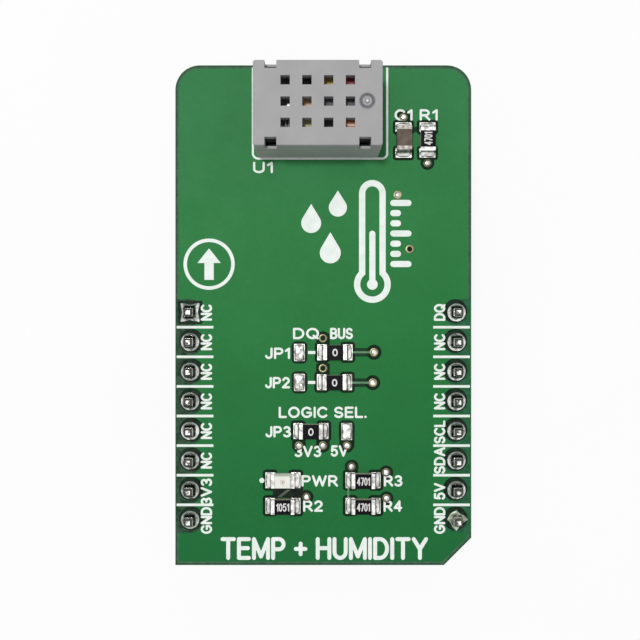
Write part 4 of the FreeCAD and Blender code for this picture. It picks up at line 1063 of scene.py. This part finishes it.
# Painted shade: mid-grey rings along both edges of the groove, a soft shade round the sunk ring
rim = Shape()
mark_ring(rim, MARK_RADIUS + 0.08, MARK_RADIUS + 0.005, cover_top - 0.005, cover_top + 0.003)
mark_ring(rim, MARK_RADIUS - MARK_GROOVE, 0.34, cover_top - 0.005, cover_top + 0.003)
rim.build("mark_rim_painted_shade", materials["mark_rim_painted_shade"])

# Pale marks: two bars on a small chip and a stripe on the capacitor behind the windows, and a painted
# highlight on the tip of the mark's dot. X, Y, width, length, level.
chip_top = top_of("sensor_small_chips")
PALE_MARKS_AND_HIGHLIGHT = [
    (-3.09, 15.68, 0.1, 0.4, chip_top), (-2.86, 15.64, 0.08, 0.36, chip_top),
    (2.16, 15.45, 1.1, 0.1, top_of("sensor_capacitor")), (mark_x, mark_y, 0.17, 0.17, dot_top - 0.004),
]
pale = Shape()
for x, y, width, length, level in PALE_MARKS_AND_HIGHLIGHT:
    pale.plate(round_box(x, y, width, length, 0.08), level - 0.005, level + 0.008)
pale.build("pale_marks", materials["pale_mark_and_highlight"])


# The bare strip along the board's cut edge, and a paler line inside it: insets and height
CORNER_RADIUS = 2.1
CORNER_CUT = 2.35
CORNER_STEPS = 12
EDGE_PIECES = [("edge_strip", "edge", 0.05, 0.17, 0.005), ("edge_line", "edge_line", 0.17, 0.3, 0.0045)]


def board_outline(inset):
    """The board's outline, with its round upper corners and its cut corner, moved in by an inset."""
    left, right = BOARD_LEFT + inset, BOARD_RIGHT - inset
    low, high = BOARD_LOW + inset, BOARD_HIGH - inset
    radius = CORNER_RADIUS - inset
    cut = CORNER_CUT - inset * (2 - math.sqrt(2))
    outline = [(left, low), (right - cut, low), (right, low + cut)]
    for side, first in ((1, 0), (-1, 90)):
        centre_x = right - radius if side > 0 else left + radius
        for step in range(CORNER_STEPS + 1):
            angle = math.radians(first + 90 * step / CORNER_STEPS)
            outline.append(polar(centre_x, high - radius, radius, angle))
    return outline


for name, material, outer, inner, height in EDGE_PIECES:
    border = Shape()
    border.frame(board_outline(outer), board_outline(inner), BOARD_TOP, BOARD_TOP + height)
    border.build(name, materials[material])


# Floor, lamp and camera
FLOOR_REACH = 2.0
FLOOR_WHITE_SHARE = 0.82
WORLD_STRENGTH = 0.46
WHITE = (1.0, 1.0, 1.0, 1.0)


def seen_rays(tree):
    """One for the rays that show a surface to the camera, straight or through gloss or glass."""
    path = tree.nodes.new("ShaderNodeLightPath")
    seen = path.outputs["Is Camera Ray"]
    for name in ("Is Glossy Ray", "Is Transmission Ray"):
        larger = tree.nodes.new("ShaderNodeMath")
        larger.operation = "MAXIMUM"
        tree.links.new(seen, larger.inputs[0])
        tree.links.new(path.outputs[name], larger.inputs[1])
        seen = larger.outputs["Value"]
    return seen


def mix_output(tree, factor, first, second, output):
    """The output node shows the first shader, or the second one where the factor is one."""
    mixer = tree.nodes.new("ShaderNodeMixShader")
    for socket, source in zip(mixer.inputs, (factor, first, second)):
        tree.links.new(source, socket)
    tree.links.new(mixer.outputs["Shader"], tree.nodes[output].inputs["Surface"])


def make_floor():
    mesh = bpy.data.meshes.new("floor")
    points = [(x * FLOOR_REACH, y * FLOOR_REACH, 0) for x, y in ((-1, -1), (1, -1), (1, 1), (-1, 1))]
    mesh.from_pydata(points, [], [(0, 1, 2, 3)])
    floor = bpy.data.objects.new("floor", mesh)
    bpy.context.scene.collection.objects.link(floor)
    paint = Paint("floor_paper", 0.9, 0.0, 0.1)
    paint.tint(paint.tones(60.0, (250, 250, 250), (254, 254, 254)))
    white = paint.tree.nodes.new("ShaderNodeEmission")
    white.inputs["Strength"].default_value = 1.0
    share = paint.calculate("MULTIPLY", seen_rays(paint.tree), FLOOR_WHITE_SHARE)
    mix_output(paint.tree, share, paint.shader.outputs["BSDF"], white.outputs["Emission"], "Material Output")
    mesh.materials.append(paint.material)


def make_world():
    world = bpy.data.worlds.new("studio")
    bpy.context.scene.world = world
    world.use_nodes = True
    tree = world.node_tree
    light = tree.nodes["Background"]
    seen_white = tree.nodes.new("ShaderNodeBackground")
    for background, strength in ((light, WORLD_STRENGTH), (seen_white, 1.0)):
        background.inputs["Color"].default_value = WHITE
        background.inputs["Strength"].default_value = strength
    mix_output(tree, seen_rays(tree), light.outputs["Background"], seen_white.outputs["Background"],
               "World Output")


def area_lamp(name, place, target, size, power):
    data = bpy.data.lights.new(name, "AREA")
    data.shape = "DISK"
    data.size = size * MM
    data.energy = power
    lamp = bpy.data.objects.new(name, data)
    lamp.location = Vector(place) * MM
    lamp.rotation_mode = "QUATERNION"
    lamp.rotation_quaternion = (Vector(target) - Vector(place)).to_track_quat("-Z", "Y")
    bpy.context.scene.collection.objects.link(lamp)


make_floor()
make_world()
area_lamp("key_lamp", (-48.0, 52.0, 300.0), (0.0, 0.0, 8.0), size=50.0, power=0.46)

camera_data = bpy.data.cameras.new("camera")
camera_data.lens = CAMERA_LENS
camera_data.sensor_width = CAMERA_SENSOR
camera_data.clip_start = 0.001
camera_data.clip_end = 10.0
camera = bpy.data.objects.new("camera", camera_data)
camera.location = Vector(CAMERA_PLACE) * MM
bpy.context.scene.collection.objects.link(camera)
bpy.context.scene.camera = camera
bpy.context.scene.view_settings.view_transform = "Standard"
